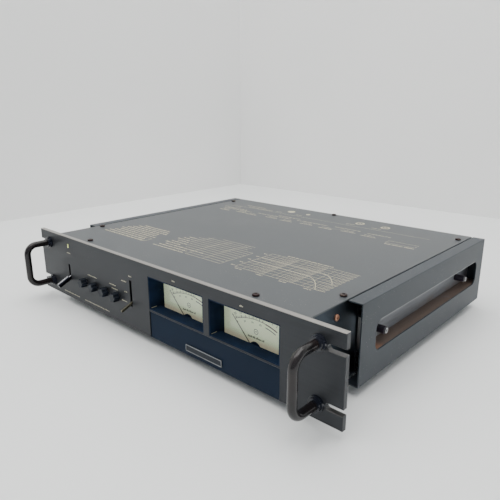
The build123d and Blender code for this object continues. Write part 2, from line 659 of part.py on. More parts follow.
with BuildPart() as meter_cases:
    for x in METER_X:
        across = (x - CASE_OUTER_W / 2, x + CASE_OUTER_W / 2)
        slab(across, (METER_LENS_D, METER_DEEP), METER_CASE_H)
    for x in METER_X:
        inside = (x - METER_W / 2, x + METER_W / 2)
        back = METER_DEEP - METER_WALL
        slab(inside, (METER_LENS_D - CUT, back), METER_H, Mode.SUBTRACT)
        slab(inside, (METER_LENS_D + METER_WALL, back), (CASE_LOW_IN, METER_H[1]), Mode.SUBTRACT)
    for x in METER_X:
        # half-round cover over the needle's hub, and the coil housing behind the scale
        with BuildSketch(facing(HUB_D[0])):
            with Locations((x, HUB_H)):
                Circle(HUB_R)
            with Locations((x, (CASE_LOW_IN + HUB_H - NEEDLE_HUB_R) / 2)):
                Rectangle(2 * HUB_FOOT, HUB_H - NEEDLE_HUB_R - CASE_LOW_IN)
        extrude(amount=-(HUB_D[1] - HUB_D[0]))
        slab((x - MOVEMENT_W / 2, x + MOVEMENT_W / 2), MOVEMENT_D, (CASE_LOW_IN, MOVEMENT_TOP))
        bore_d = (MOVEMENT_D[0] - CUT, NEEDLE_SHAFT_D[1] + CUT)
        rod_back(x, bore_d, PIVOT_H, NEEDLE_SHAFT_R + RUNNING, Mode.SUBTRACT)
save(meter_cases, "meter_cases")

with BuildPart() as meter_lenses:
    for x in METER_X:
        half = METER_W / 2 - CLEAR
        lens_h = (METER_H[0] + CLEAR, METER_H[1] - CLEAR)
        slab((x - half, x + half), (METER_LENS_D, METER_LENS_D + LENS_T), lens_h)
save(meter_lenses, "meter_lenses")

with BuildPart() as meter_scales:
    for x in METER_X:
        half = METER_W / 2 - CLEAR
        slab((x - half, x + half), (METER_SCALE_D, MOVEMENT_D[0]), (CASE_LOW_IN, METER_H[1] - CLEAR))
        rod_back(x, (METER_SCALE_D - CUT, MOVEMENT_D[0] + CUT), PIVOT_H, NEEDLE_HUB_R, Mode.SUBTRACT)
save(meter_scales, "meter_scales")


def needle(x):
    """A pointer with its hub and shaft, leaning to the left stop."""
    lean = math.radians(NEEDLE_REST)
    along = (-math.sin(lean), math.cos(lean))
    across = (math.cos(lean), math.sin(lean))

    def spot(reach, offset):
        return (
            x + along[0] * reach + across[0] * offset,
            PIVOT_H + along[1] * reach + across[1] * offset,
        )

    with BuildPart() as pointer:
        with BuildSketch(facing(NEEDLE_D[0])):
            with BuildLine():
                Polyline(
                    spot(-NEEDLE_TAIL, -NEEDLE_ROOT_W), spot(-NEEDLE_TAIL, NEEDLE_ROOT_W),
                    spot(NEEDLE_L, NEEDLE_TIP_W), spot(NEEDLE_L, -NEEDLE_TIP_W),
                    close=True,
                )
            make_face()
        extrude(amount=-(NEEDLE_D[1] - NEEDLE_D[0]))
        rod_back(x, NEEDLE_HUB_D, PIVOT_H, NEEDLE_HUB_R - NEEDLE_HUB_GAP)
        rod_back(x, NEEDLE_SHAFT_D, PIVOT_H, NEEDLE_SHAFT_R)
    return pointer


save(needle(METER_X[0]), "needle_left")
save(needle(METER_X[1]), "needle_right")

# ---------------------------------------------------------------- trim panel and badge

TRIM_RECESS = 1.0
TRIM_LOW = 0.0
BADGE_X = (57.5, 108.5)
BADGE_H = (4.8, 11.8)
BADGE_T = 1.0
BADGE_RIM = 0.8
BADGE_SUNK = 0.4                 # depth of the field inside the rim
BADGE_CORNER = 0.6

with BuildPart() as trim_panel:
    slab((NOTCH_X[0] + CLEAR, NOTCH_X[1] - CLEAR), (TRIM_RECESS, PANEL_T), (TRIM_LOW, NOTCH_H - CLEAR))
save(trim_panel, "trim_panel")

with BuildPart() as badge_plate:
    slab(BADGE_X, (TRIM_RECESS - BADGE_T, TRIM_RECESS), BADGE_H)
    corners = badge_plate.edges().filter_by(Axis.Y)
    fillet(corners, BADGE_CORNER)
    field_x = (BADGE_X[0] + BADGE_RIM, BADGE_X[1] - BADGE_RIM)
    field_h = (BADGE_H[0] + BADGE_RIM, BADGE_H[1] - BADGE_RIM)
    rim_face = TRIM_RECESS - BADGE_T
    slab(field_x, (rim_face - CUT, rim_face + BADGE_SUNK), field_h, Mode.SUBTRACT)
save(badge_plate, "badge_plate")

# ---------------------------------------------------------------- light and levers

LED_PROUD = 0.3
LED_BASE = 4.0                   # length of the moulded base, and its half width and half height
LED_BASE_W = 2.0
LED_BASE_TALL = 3.5
LED_LEG_L = 12.0
LED_LEG_R = 0.3
LED_LEG_PITCH = 2.6

with BuildPart() as power_led:
    with BuildSketch(facing(-LED_PROUD)):
        with Locations((LED_X, LED_H)):
            RectangleRounded(LED_W, LED_TALL, LED_W * 0.45)
    extrude(amount=-(FRONT_SHEET[1] + LED_PROUD))
    base_d = (FRONT_SHEET[1], FRONT_SHEET[1] + LED_BASE)
    slab((LED_X - LED_BASE_W, LED_X + LED_BASE_W), base_d, (LED_H - LED_BASE_TALL, LED_H + LED_BASE_TALL))
    for side in (-1, 1):
        leg_d = (base_d[1], base_d[1] + LED_LEG_L)
        rod_back(LED_X, leg_d, LED_H + side * LED_LEG_PITCH / 2, LED_LEG_R)
save(power_led, "power_led")

PIN_R = 1.0
LEVER_HUB_R = 2.8
LEVER_PIN_OUT = 2.0              # pin into each cheek of the switch
SWITCH_GAP = 0.4                 # lever to the cheeks of its switch
SWITCH_CHEEK = 4.0
CAP_STANDOFF = 1.0               # panel face to the rear of the lever's cap at its limits
LEVER_ROUND = 0.5
POWER_HUB_W = 2 * POWER_STEM_R + 0.8


def tilted(pivot_d, pivot_h, x, tilt):
    """A plane at a lever's pivot: local z points out along the lever, tilted down from level."""
    angle = math.radians(tilt)
    origin = (x, FRONT_Y + pivot_d, PANEL_LIFT + pivot_h)
    return Plane(origin, x_dir=(1, 0, 0), z_dir=(0, -math.cos(angle), -math.sin(angle)))


POWER_TOTAL = (POWER_PIVOT_D + POWER_REACH) / math.cos(math.radians(POWER_TILT))
POWER_CAP_FROM = (
    POWER_PIVOT_D + POWER_R * math.sin(math.radians(POWER_TILT)) + CAP_STANDOFF
) / math.cos(math.radians(POWER_TILT))

with BuildPart() as power_lever:
    root = tilted(POWER_PIVOT_D, POWER_PIVOT_H, POWER_X, POWER_TILT)
    with BuildSketch(root):
        Circle(POWER_STEM_R)
    extrude(amount=(POWER_CAP_FROM + POWER_TOTAL) / 2)
    with BuildSketch(root.offset(POWER_CAP_FROM)):
        Circle(POWER_R)
    extrude(amount=POWER_TOTAL - POWER_CAP_FROM)
    tip = power_lever.faces().sort_by(Axis(root.origin, root.z_dir))[-1]
    fillet(tip.edges(), LEVER_ROUND)
    half = POWER_HUB_W / 2
    rod_across((POWER_X - half, POWER_X + half), POWER_PIVOT_D, POWER_PIVOT_H, LEVER_HUB_R)
    pin = half + SWITCH_GAP + LEVER_PIN_OUT
    rod_across((POWER_X - pin, POWER_X + pin), POWER_PIVOT_D, POWER_PIVOT_H, PIN_R)
save(power_lever, "power_lever")

RANGE_TOTAL = (RANGE_PIVOT_D + RANGE_REACH) / math.cos(math.radians(RANGE_TILT))

with BuildPart() as range_lever:
    root = tilted(RANGE_PIVOT_D, RANGE_PIVOT_H, RANGE_X, RANGE_TILT)
    with BuildSketch(root):
        Rectangle(RANGE_T, RANGE_BLADE_H)
    extrude(amount=RANGE_TOTAL)
    tip = range_lever.faces().sort_by(Axis(root.origin, root.z_dir))[-1]
    fillet(tip.edges().filter_by(Axis.X), LEVER_ROUND)
    half = RANGE_T / 2
    rod_across((RANGE_X - half, RANGE_X + half), RANGE_PIVOT_D, RANGE_PIVOT_H, LEVER_HUB_R)
    pin = half + SWITCH_GAP + LEVER_PIN_OUT
    rod_across((RANGE_X - pin, RANGE_X + pin), RANGE_PIVOT_D, RANGE_PIVOT_H, PIN_R)
save(range_lever, "range_lever")

TAG_PITCH = 7.0                  # solder tags at the back of a switch
TAG_L = 4.0
TAG_HALF_W = 1.5
TAG_HALF_T = 0.4
POWER_SWITCH_DEEP = 34.0
POWER_SWITCH_HALF_H = 14.0
RANGE_SWITCH_DEEP = 38.0
RANGE_SWITCH_HALF_H = 18.0


def switch_body(x, lever_w, pivot_d, pivot_h, deep, half_h, half_slot):
    """A switch body behind the sub panel: two cheeks on a block, bored for the lever's pin."""
    with BuildPart() as body:
        half_w = lever_w / 2 + SWITCH_GAP
        outer = half_w + SWITCH_CHEEK
        slab((x - outer, x + outer), (FRONT_SHEET[1], deep), (pivot_h - half_h, pivot_h + half_h))
        room_d = (FRONT_SHEET[1] - CUT, pivot_d + LEVER_HUB_R + SWITCH_GAP)
        slab((x - half_w, x + half_w), room_d, (pivot_h - half_slot, pivot_h + half_slot), Mode.SUBTRACT)
        pin = half_w + LEVER_PIN_OUT + RUNNING
        rod_across((x - pin, x + pin), pivot_d, pivot_h, PIN_R + RUNNING, Mode.SUBTRACT)
        for place in (-1, 0, 1):
            middle = pivot_h + place * TAG_PITCH
            tag_h = (middle - TAG_HALF_T, middle + TAG_HALF_T)
            slab((x - TAG_HALF_W, x + TAG_HALF_W), (deep, deep + TAG_L), tag_h)
    return body


power_switch = switch_body(
    POWER_X, POWER_HUB_W, POWER_PIVOT_D, POWER_PIVOT_H,
    POWER_SWITCH_DEEP, POWER_SWITCH_HALF_H, POWER_SLOT_HALF,
)
save(power_switch, "power_switch")
range_switch = switch_body(
    RANGE_X, RANGE_T, RANGE_PIVOT_D, RANGE_PIVOT_H,
    RANGE_SWITCH_DEEP, RANGE_SWITCH_HALF_H, RANGE_SLOT_HALF,
)
save(range_switch, "range_switch")

# ---------------------------------------------------------------- level controls

POT_R = 6.9
POT_L = 9.0
POT_BACK = FRONT_SHEET[1] + POT_L
POT_CAP = 2.0                    # wall behind the end of the shaft
POT_TAG_HALF_W = 5.0
POT_TAG_DROP = 5.0
POT_TAG_D = (FRONT_SHEET[1] + 2.0, POT_BACK - 4.0)
BUSHING_SUNK = 1.0               # bushing behind the face of the panel
KNOB_GAP = 0.6                   # knob to the face of the panel
KNOB_CROWN = 2.0                 # front wall of a knob
KNOB_EDGE = 0.5
FLUTES = 6
FLUTE_R = 2.0
FLUTE_OUT = 0.7                  # knob's rim to the middle of a flute
SHAFT_D = (KNOB_CROWN - KNOB_OUT, POT_BACK - POT_CAP)

with BuildPart() as control_pots:
    for x in KNOB_X:
        rod_back(x, (FRONT_SHEET[1], POT_BACK), KNOB_H, POT_R)
        rod_back(x, (BUSHING_SUNK, FRONT_SHEET[1]), KNOB_H, BUSHING_R)
        tag_h = (KNOB_H - POT_R - POT_TAG_DROP, KNOB_H - POT_R * 0.7)
        slab((x - POT_TAG_HALF_W, x + POT_TAG_HALF_W), POT_TAG_D, tag_h)
        rod_back(x, (-CUT, SHAFT_D[1] + RUNNING), KNOB_H, SHAFT_R + RUNNING, Mode.SUBTRACT)
save(control_pots, "control_pots")


def knob(x):
    """A fluted knob, bored from behind for its shaft."""
    with BuildPart() as turned:
        with BuildSketch(facing(-KNOB_GAP)):
            with Locations((x, KNOB_H)):
                Circle(KNOB_R)
                with PolarLocations(KNOB_R + FLUTE_OUT, FLUTES, start_angle=30):
                    Circle(FLUTE_R, mode=Mode.SUBTRACT)
        extrude(amount=KNOB_OUT - KNOB_GAP)
        front = turned.faces().sort_by(Axis.Y)[0]
        chamfer(front.edges(), KNOB_EDGE)
        rod_back(x, (SHAFT_D[0], CUT), KNOB_H, SHAFT_R, Mode.SUBTRACT)
    return turned


for number, x in enumerate(KNOB_X, start=1):
    save(knob(x), f"knob_{number}")
    with BuildPart() as control_shaft:
        rod_back(x, SHAFT_D, KNOB_H, SHAFT_R)
    save(control_shaft, f"control_shaft_{number}")

# ---------------------------------------------------------------- power section

TRANSISTOR_COUNT = 4
TRANSISTOR_ROOM = (SINK_WINDOW_D[1] - SINK_WINDOW_D[0]) / TRANSISTOR_COUNT
TRANSISTOR_D = [SINK_WINDOW_D[0] + TRANSISTOR_ROOM * (n + 0.5) for n in range(TRANSISTOR_COUNT)]
TRANSISTOR_H = sum(SINK_WINDOW_H) / 2
CAN_R = 10.0
CAN_T = 8.0
EAR_R = 4.0
EAR_SPREAD = 15.1
EAR_T = 1.6
FLANGE_R = CAN_R + 2.5
PAD_FACE = PLATE_IN - SINK_PAD + SHEET

with BuildPart() as power_transistors:
    for side in (-1, 1):
        for depth in TRANSISTOR_D:
            with BuildSketch(sideways(side * PAD_FACE)):
                with Locations((depth, TRANSISTOR_H)):
                    SlotCenterToCenter(2 * EAR_SPREAD, 2 * EAR_R)
                    Circle(FLANGE_R)
            extrude(amount=-side * EAR_T)
            limits = sorted((side * (PAD_FACE - EAR_T), side * (PAD_FACE - CAN_T)))
            rod_across(limits, depth, TRANSISTOR_H, CAN_R)
save(power_transistors, "power_transistors")

CORE_X = -92.0
CORE_D = 110.0
CORE_W = 96.0
CORE_L = 80.0
CORE_STACK = 42.0
CORE_H = 39.5
LIMB = CORE_W / 6
WIND_WALL = 11.5
WIND_CORNER = 8.0
WIND_GAP = 1.0                   # winding to the outer limbs
CORE_LOW = CORE_H - CORE_STACK / 2
CORE_TOP = CORE_H + CORE_STACK / 2

with BuildPart() as transformer_core:
    with BuildSketch(level(CORE_LOW)):
        with Locations((CORE_X, CORE_D)):
            Rectangle(CORE_W, CORE_L)
            with GridLocations(3 * LIMB, 0, 2, 1):
                Rectangle(LIMB, CORE_L - 2 * LIMB, mode=Mode.SUBTRACT)
    extrude(amount=CORE_STACK)
save(transformer_core, "transformer_core")

with BuildPart() as transformer_winding:
    half_l = CORE_L / 2 - LIMB - CLEAR
    with BuildSketch(facing(CORE_D - half_l)):
        with Locations((CORE_X, CORE_H)):
            RectangleRounded(4 * LIMB - 2 * WIND_GAP, CORE_STACK + 2 * WIND_WALL, WIND_CORNER)
            Rectangle(2 * LIMB + 2 * CLEAR, CORE_STACK + 2 * CLEAR, mode=Mode.SUBTRACT)
    extrude(amount=-2 * half_l)
save(transformer_winding, "transformer_winding")

STRAP_T = 2.0                    # steel straps that hold the transformer down
STRAP_FOOT = 14.0
STRAP_HOLE_R = 2.2
STRAP_HOLE_INSET = 6.0
STRAP_HOLE_OUT = 9.0

with BuildPart() as transformer_frame:
    for side in (-1, 1):
        near = CORE_D + side * CORE_L / 2
        upright = sorted((near, near + side * STRAP_T))
        foot = sorted((near, near + side * STRAP_FOOT))
        across = (CORE_X - CORE_W / 2, CORE_X + CORE_W / 2)
        slab(across, upright, (FLOOR, CORE_TOP))
        slab(across, foot, (FLOOR, FLOOR + STRAP_T))
    for end in (-1, 1):
        x = CORE_X + end * (CORE_W / 2 - STRAP_HOLE_INSET)
        for side in (-1, 1):
            place = CORE_D + side * (CORE_L / 2 + STRAP_HOLE_OUT)
            rod_up(x, place, (FLOOR - CUT, FLOOR + CUT), STRAP_HOLE_R, Mode.SUBTRACT)
save(transformer_frame, "transformer_frame")

CAPACITORS = ((-110.0, 205.0), (-60.0, 205.0), (-110.0, 260.0), (-60.0, 260.0))
CAPACITOR_R = 20.0
CAPACITOR_L = 66.0
CAPACITOR_EDGE = 1.5
TERMINAL_R = 2.5
TERMINAL_SPREAD = 6.0
TERMINAL_L = 4.0
CLAMP_WALL = 2.0
CLAMP_TALL = 14.0

with BuildPart() as filter_capacitors:
    with BuildSketch(level(FLOOR)):
        with Locations(*CAPACITORS):
            Circle(CAPACITOR_R)
    extrude(amount=CAPACITOR_L)
    crown = filter_capacitors.faces().group_by(Axis.Z)[-1]
    fillet(crown.edges(), CAPACITOR_EDGE)
    with BuildSketch(level(FLOOR + CAPACITOR_L)):
        with Locations(*[(x + side * TERMINAL_SPREAD, d) for x, d in CAPACITORS for side in (-1, 1)]):
            Circle(TERMINAL_R)
    extrude(amount=TERMINAL_L)
save(filter_capacitors, "filter_capacitors")

with BuildPart() as capacitor_clamps:
    with BuildSketch(level(FLOOR)):
        with Locations(*CAPACITORS):
            Circle(CAPACITOR_R + CLAMP_WALL)
            Circle(CAPACITOR_R + RUNNING, mode=Mode.SUBTRACT)
    extrude(amount=CLAMP_TALL)
save(capacitor_clamps, "capacitor_clamps")

# ---------------------------------------------------------------- circuit boards

BOARD_T = 1.6
BOARD_LIFT = 8.0
BOARD_POST_R = 3.0
BOARD_POST_INSET = 5.0


def board(x, depth, parts):
    """A circuit board on four posts with its tall parts: (kind, x, depth, size, height)."""
    with BuildPart() as card:
        top = FLOOR + BOARD_LIFT + BOARD_T
        slab(x, depth, (FLOOR + BOARD_LIFT, top))
        for corner_x in (x[0] + BOARD_POST_INSET, x[1] - BOARD_POST_INSET):
            for corner_d in (depth[0] + BOARD_POST_INSET, depth[1] - BOARD_POST_INSET):
                rod_up(corner_x, corner_d, (FLOOR, FLOOR + BOARD_LIFT), BOARD_POST_R)
        for kind, part_x, part_d, size, tall in parts:
            if kind == "can":
                rod_up(part_x, part_d, (top, top + tall), size)
            else:
                part_spread = (part_d - size / 2, part_d + size / 2)
                slab((part_x - size, part_x + size), part_spread, (top, top + tall))
    return card


amplifier_parts = []
for row in range(2):
    middle = 90.0 + 70.0 * row
    amplifier_parts += [("can", 10.0 + 22 * n, middle + 14, 5.0, 14.0) for n in range(7)]
    amplifier_parts += [("block", 16.0 + 17 * n, middle - 12, 5.0, 9.0) for n in range(9)]
save(board((-10.0, 175.0), (60.0, 190.0), amplifier_parts), "amplifier_board")

power_parts = [("can", 20.0 + 20 * n, 300.0, 7.0, 22.0) for n in range(5)]
power_parts += [("block", 30.0 + 34 * n, 235.0, 10.0, 18.0) for n in range(4)]
save(board((-10.0, 160.0), (205.0, 320.0), power_parts), "power_board")

# ---------------------------------------------------------------- back fittings

JACK_TAIL = 8.0                  # behind the back panel
JACK_FLANGE_T = 1.5
JACK_FLANGE_R = JACK_R + 2.4
JACK_NUT_T = 3.0
JACK_BORE_R = 1.6

with BuildPart() as input_jacks:
    inside = BACK_SHEET[0]
    for x in JACK_X:
        rod_back(x, (inside - JACK_TAIL, CASE_BACK + JACK_L), JACK_H, JACK_R)
        rod_back(x, (CASE_BACK, CASE_BACK + JACK_FLANGE_T), JACK_H, JACK_FLANGE_R)
        rod_back(x, (inside - JACK_NUT_T, inside), JACK_H, JACK_FLANGE_R)
    for x in JACK_X:
        rod_back(x, (CASE_BACK, CASE_BACK + JACK_L + CUT), JACK_H, JACK_BORE_R, Mode.SUBTRACT)
save(input_jacks, "input_jacks")

BASE_T = 3.0
BASE_R = 8.0
POST_NUT_T = 4.0
POST_NUT_R = POST_BASE_R + 2.0
POST_TAIL = 16.0                 # behind the back panel
POST_SUNK = 3.0                  # tip of a post inside its cap
with BuildPart() as speaker_posts:
    for x in POST_X:
        rod_back(x, (CASE_BACK, CASE_BACK + BASE_T), POST_H, BASE_R)
        rod_back(x, (BACK_SHEET[0] - POST_NUT_T, CASE_BACK), POST_H, POST_BASE_R)
        rod_back(x, (BACK_SHEET[0] - POST_NUT_T, BACK_SHEET[0]), POST_H, POST_NUT_R)
        rod_back(x, (BACK_SHEET[0] - POST_TAIL, CASE_BACK + POST_REACH - POST_SUNK), POST_H, POST_R)
save(speaker_posts, "speaker_posts")

CAP_FLUTES = 10
CAP_FLUTE_R = 1.0
CAP_EDGE = 0.4


def post_cap(x):
    """A fluted nut on the threaded post of a speaker terminal."""
    with BuildPart() as cap:
        start = CASE_BACK + POST_REACH - CAP_L
        with BuildSketch(facing(start)):
            with Locations((x, POST_H)):
                Circle(CAP_R)
                with PolarLocations(CAP_R + CAP_FLUTE_R / 2, CAP_FLUTES):
                    Circle(CAP_FLUTE_R, mode=Mode.SUBTRACT)
        extrude(amount=-CAP_L)
        back = cap.faces().sort_by(Axis.Y)[-1]
        chamfer(back.edges(), CAP_EDGE)
        bore_d = (start - CUT, CASE_BACK + POST_REACH - POST_SUNK + CLEAR)
        rod_back(x, bore_d, POST_H, POST_R + RUNNING, Mode.SUBTRACT)
    return cap


for number, x in enumerate(POST_X, start=1):
    save(post_cap(x), f"post_cap_{number}")

FUSE_FLANGE_T = 3.0
FUSE_FLANGE_R = FUSE_BODY_R + 1.5
FUSE_CAP_L = 11.0                # back panel face to the end of the cap
FUSE_TAIL = 24.0
FUSE_SLOT_HALF_W = 4.0
FUSE_SLOT_HALF_T = 0.6
FUSE_SLOT_DEEP = 1.0

with BuildPart() as fuse_holder:
    rod_back(FUSE_X, (CASE_BACK, CASE_BACK + FUSE_FLANGE_T), FUSE_H, FUSE_FLANGE_R)
    rod_back(FUSE_X, (CASE_BACK - FUSE_TAIL, CASE_BACK + FUSE_CAP_L), FUSE_H, FUSE_BODY_R)
    slot_x = (FUSE_X - FUSE_SLOT_HALF_W, FUSE_X + FUSE_SLOT_HALF_W)
    slot_d = (CASE_BACK + FUSE_CAP_L - FUSE_SLOT_DEEP, CASE_BACK + FUSE_CAP_L + CUT)
    slab(slot_x, slot_d, (FUSE_H - FUSE_SLOT_HALF_T, FUSE_H + FUSE_SLOT_HALF_T), Mode.SUBTRACT)
save(fuse_holder, "fuse_holder")

GLAND_HEAD_T = 4.0
GLAND_HEAD_R = GLAND_BODY_R + 3.0
GLAND_ROUND = 1.5
GLAND_TAIL = 5.0                 # behind the back panel
GLAND_LIP_R = GLAND_BODY_R + 2.0

with BuildPart() as mains_gland:
    rod_back(GLAND_X, (CASE_BACK, CASE_BACK + GLAND_HEAD_T), GLAND_H, GLAND_HEAD_R)
    outer = mains_gland.faces().sort_by(Axis.Y)[-1]
    fillet(outer.edges(), GLAND_ROUND)
    tail_d = BACK_SHEET[0] - GLAND_TAIL
    rod_back(GLAND_X, (tail_d, CASE_BACK), GLAND_H, GLAND_BODY_R)
    rod_back(GLAND_X, (tail_d, BACK_SHEET[0]), GLAND_H, GLAND_LIP_R)
    bore_d = (tail_d - CUT, CASE_BACK + GLAND_HEAD_T + CUT)
    rod_back(GLAND_X, bore_d, GLAND_H, GLAND_BORE_R, Mode.SUBTRACT)
save(mains_gland, "mains_gland")

# ---------------------------------------------------------------- feet

FOOT_H = PANEL_LIFT + CASE_BOTTOM
FOOT_SPOTS = [(side * FOOT_X, depth) for side in (-1, 1) for depth in FOOT_D]
FOOT_TAPER = 4.0                 # degrees
FOOT_SEAT = 4.0                  # rubber under the head of the screw
FOOT_WELL_R = 5.0
FOOT_SCREW_L = 8.0

with BuildPart() as feet:
    with BuildSketch(level(-PANEL_LIFT)):
        with Locations(*FOOT_SPOTS):
            Circle(FOOT_R)
    extrude(amount=FOOT_H, taper=-FOOT_TAPER)
    with BuildSketch(level(-PANEL_LIFT)):
        with Locations(*FOOT_SPOTS):
            Circle(FOOT_WELL_R)
    extrude(amount=FOOT_H - FOOT_SEAT, mode=Mode.SUBTRACT)
    with BuildSketch(level(CASE_BOTTOM)):
        with Locations(*FOOT_SPOTS):
            Circle(FOOT_SCREW_R + SCREW_CLEAR)
    extrude(amount=-FOOT_SEAT - CUT, mode=Mode.SUBTRACT)
save(feet, "feet")

seat = Plane((0, FRONT_Y, PANEL_LIFT + CASE_BOTTOM - FOOT_SEAT), x_dir=(1, 0, 0), z_dir=(0, 0, -1))
screw_spots = [(x, -depth) for x, depth in FOOT_SPOTS]
save(pan_screw(seat, screw_spots, SCREW_HEAD_R, SCREW_HEAD_T, FOOT_SCREW_R, FOOT_SCREW_L), "foot_screws")
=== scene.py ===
"""Looks for a slim rack-width power amplifier with two needle meters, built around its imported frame."""

import json
import math
import random

import bpy
from mathutils import Matrix, Vector


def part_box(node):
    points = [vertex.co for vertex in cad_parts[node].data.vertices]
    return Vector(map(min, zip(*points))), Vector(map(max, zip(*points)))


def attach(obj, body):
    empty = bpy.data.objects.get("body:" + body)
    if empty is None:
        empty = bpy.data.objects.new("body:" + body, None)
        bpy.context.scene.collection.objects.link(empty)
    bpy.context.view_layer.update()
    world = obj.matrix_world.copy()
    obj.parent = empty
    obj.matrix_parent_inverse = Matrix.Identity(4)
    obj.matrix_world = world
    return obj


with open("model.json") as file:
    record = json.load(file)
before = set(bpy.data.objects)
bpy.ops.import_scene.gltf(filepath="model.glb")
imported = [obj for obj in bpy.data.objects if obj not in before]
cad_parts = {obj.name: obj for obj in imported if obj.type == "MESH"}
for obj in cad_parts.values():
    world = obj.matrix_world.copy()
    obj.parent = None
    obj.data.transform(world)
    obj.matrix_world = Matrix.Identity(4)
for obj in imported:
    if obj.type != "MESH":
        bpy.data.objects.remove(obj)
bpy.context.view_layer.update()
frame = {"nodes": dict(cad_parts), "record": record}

MM = 0.001
BODY = "chassis"

panel_low, panel_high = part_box("front_panel")
cover_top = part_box("top_cover")[1].z


def place(x, depth, height):
    """A point from millimetres across, behind the panel's face and above its lower edge."""
    return Vector((x * MM, panel_low.y + depth * MM, panel_low.z + height * MM))


# ---------------------------------------------------------------- shader sums


class Field:
    """A shader value that can stand in a Python sum."""

    def __init__(self, finish, socket):
        self.finish = finish
        self.socket = socket

    def math(self, operation, other, swapped=False):
        first, second = (other, self) if swapped else (self, other)
        return self.finish.node("ShaderNodeMath", {"operation": operation}, {0: first, 1: second})

    def __add__(self, other):
        return self.math("ADD", other)

    def __sub__(self, other):
        return self.math("SUBTRACT", other)

    def __rsub__(self, other):
        return self.math("SUBTRACT", other, swapped=True)

    def __mul__(self, other):
        return self.math("MULTIPLY", other)

    __radd__ = __add__
    __rmul__ = __mul__

    def ramp(self, low, high):
        """Nought at low, one at high, and smooth between."""
        settings = {"interpolation_type": "SMOOTHSTEP"}
        return self.finish.node("ShaderNodeMapRange", settings, {0: self, 1: low, 2: high})


class Finish:
    """A procedural material on the Principled shader."""

    def __init__(self, name, **sockets):
        self.material = bpy.data.materials.new(name)
        self.material.use_nodes = True
        self.tree = self.material.node_tree
        self.shader = self.tree.nodes["Principled BSDF"]
        for key, value in sockets.items():
            self.set(key.replace("_", " "), value)

    def node(self, kind, settings=None, inputs=None, output=0):
        made = self.tree.nodes.new(kind)
        for key, value in (settings or {}).items():
            setattr(made, key, value)
        for key, value in (inputs or {}).items():
            self.feed(made.inputs[key], value)
        return Field(self, made.outputs[output])

    def feed(self, socket, value):
        if isinstance(value, Field):
            self.tree.links.new(value.socket, socket)
        elif isinstance(value, tuple) and socket.type == "RGBA":
            socket.default_value = (*value, 1.0)
        else:
            socket.default_value = value

    def set(self, socket, value):
        self.feed(self.shader.inputs[socket], value)

    def spot(self):
        """Place on the object, in metres of the row frame."""
        return self.node("ShaderNodeTexCoord", output=3)

    def noise(self, per_metre, detail=3.0, stretch=(1.0, 1.0, 1.0)):
        """Cloudy noise, so many features to a metre, longer along an axis whose stretch is under 1."""
        spot = self.node("ShaderNodeVectorMath", {"operation": "MULTIPLY"}, {0: self.spot(), 1: stretch})
        return self.node("ShaderNodeTexNoise", None, {"Vector": spot, "Scale": per_metre, "Detail": detail})

    def flecks(self, per_metre, share):
        """Small scattered spots over this share of the surface, at most."""
        cells = self.node(
            "ShaderNodeTexVoronoi", None, {"Vector": self.spot(), "Scale": per_metre, "Randomness": 1.0}
        )
        return (1.0 - cells.ramp(share * 0.5, share)) * self.noise(per_metre / 7, 2.0).ramp(0.5, 0.62)

    def mix(self, mask, first, second):
        """The first colour where the mask is nought and the second where it is one."""
        return self.node(
            "ShaderNodeMix", {"data_type": "RGBA"}, {0: mask, 6: first, 7: second}, output=2
        )

    def facing(self, axis):
        """How far the surface turns along an axis of the row frame, from -1 to 1."""
        normal = self.node("ShaderNodeNewGeometry", output=1)
        return self.node("ShaderNodeSeparateXYZ", None, {0: normal}, output=axis)

    def coordinate(self, axis):
        return self.node("ShaderNodeSeparateXYZ", None, {0: self.spot()}, output=axis)

    def above(self, low, high):
        """Nought under one height and one over the other, in millimetres from the panel's lower edge."""
        return self.coordinate(2).ramp(panel_low.z + low * MM, panel_low.z + high * MM)

    def behind(self, near, far):
        """Nought before one depth and one past the other, in millimetres behind the panel's face."""
        return self.coordinate(1).ramp(panel_low.y + near * MM, panel_low.y + far * MM)

    def relief(self, height, depth_mm):
        """Bumps of this height field, in millimetres."""
        inputs = {"Strength": 1.0, "Distance": depth_mm * MM, "Height": height}
        self.set("Normal", self.node("ShaderNodeBump", None, inputs))


# ---------------------------------------------------------------- finishes


PANEL_TALL = (panel_high.z - panel_low.z) / MM
INSIDE_X = 0.2                   # the windows and lever slots are nearer the middle than this


def anodised(name, colour, edge, rough):
    """Brushed, anodised aluminium, with a painted reflection on its cut faces, a painted highlight on its
    upper edge, and painted shade, near black, within its windows and lever slots.
    """
    finish = Finish(name, Metallic=0.55, Specular_IOR_Level=0.5)
    brushed = finish.noise(420.0, 4.0, (0.03, 1.0, 1.0))
    clouds = finish.noise(14.0, 3.0)
    side = finish.facing(1)
    cut = 1.0 - (side * side).ramp(0.55, 0.9)
    up = finish.facing(2).ramp(0.3, 0.7)
    across = finish.coordinate(0)
    within = finish.above(0.6, 0.8) * (1.0 - finish.above(PANEL_TALL - 0.8, PANEL_TALL - 0.6))
    # painted shade: a mask for the walls within the windows and lever slots, which are made near black
    window_shade = within * (1.0 - (across * across).ramp(INSIDE_X ** 2, (INSIDE_X + MM) ** 2))
    scuff = finish.flecks(260.0, 0.32) * finish.noise(9.0, 2.0).ramp(0.5, 0.7)
    tone = finish.mix(brushed.ramp(0.3, 0.7) * 0.5 + clouds * 0.5, colour, tuple(c * 1.3 for c in colour))
    # painted reflection: the cut faces a little paler than the front, then a painted highlight in the edge
    # colour on those that face upward
    tone = finish.mix(cut, tone, tuple(c * 1.1 for c in colour))
    tone = finish.mix(cut * up * (1.0 - within * 0.8), tone, edge)
    tone = finish.mix(scuff * 0.5, tone, tuple(c * 2.2 for c in colour))
    # painted shade: the walls within the windows and lever slots near black
    finish.set("Base Color", finish.mix(cut * window_shade, tone, (0.006, 0.007, 0.009)))
    finish.set("Roughness", rough + brushed * 0.12 + clouds * 0.06 - 0.08 * cut)
    finish.relief(brushed, 0.012)
    return finish


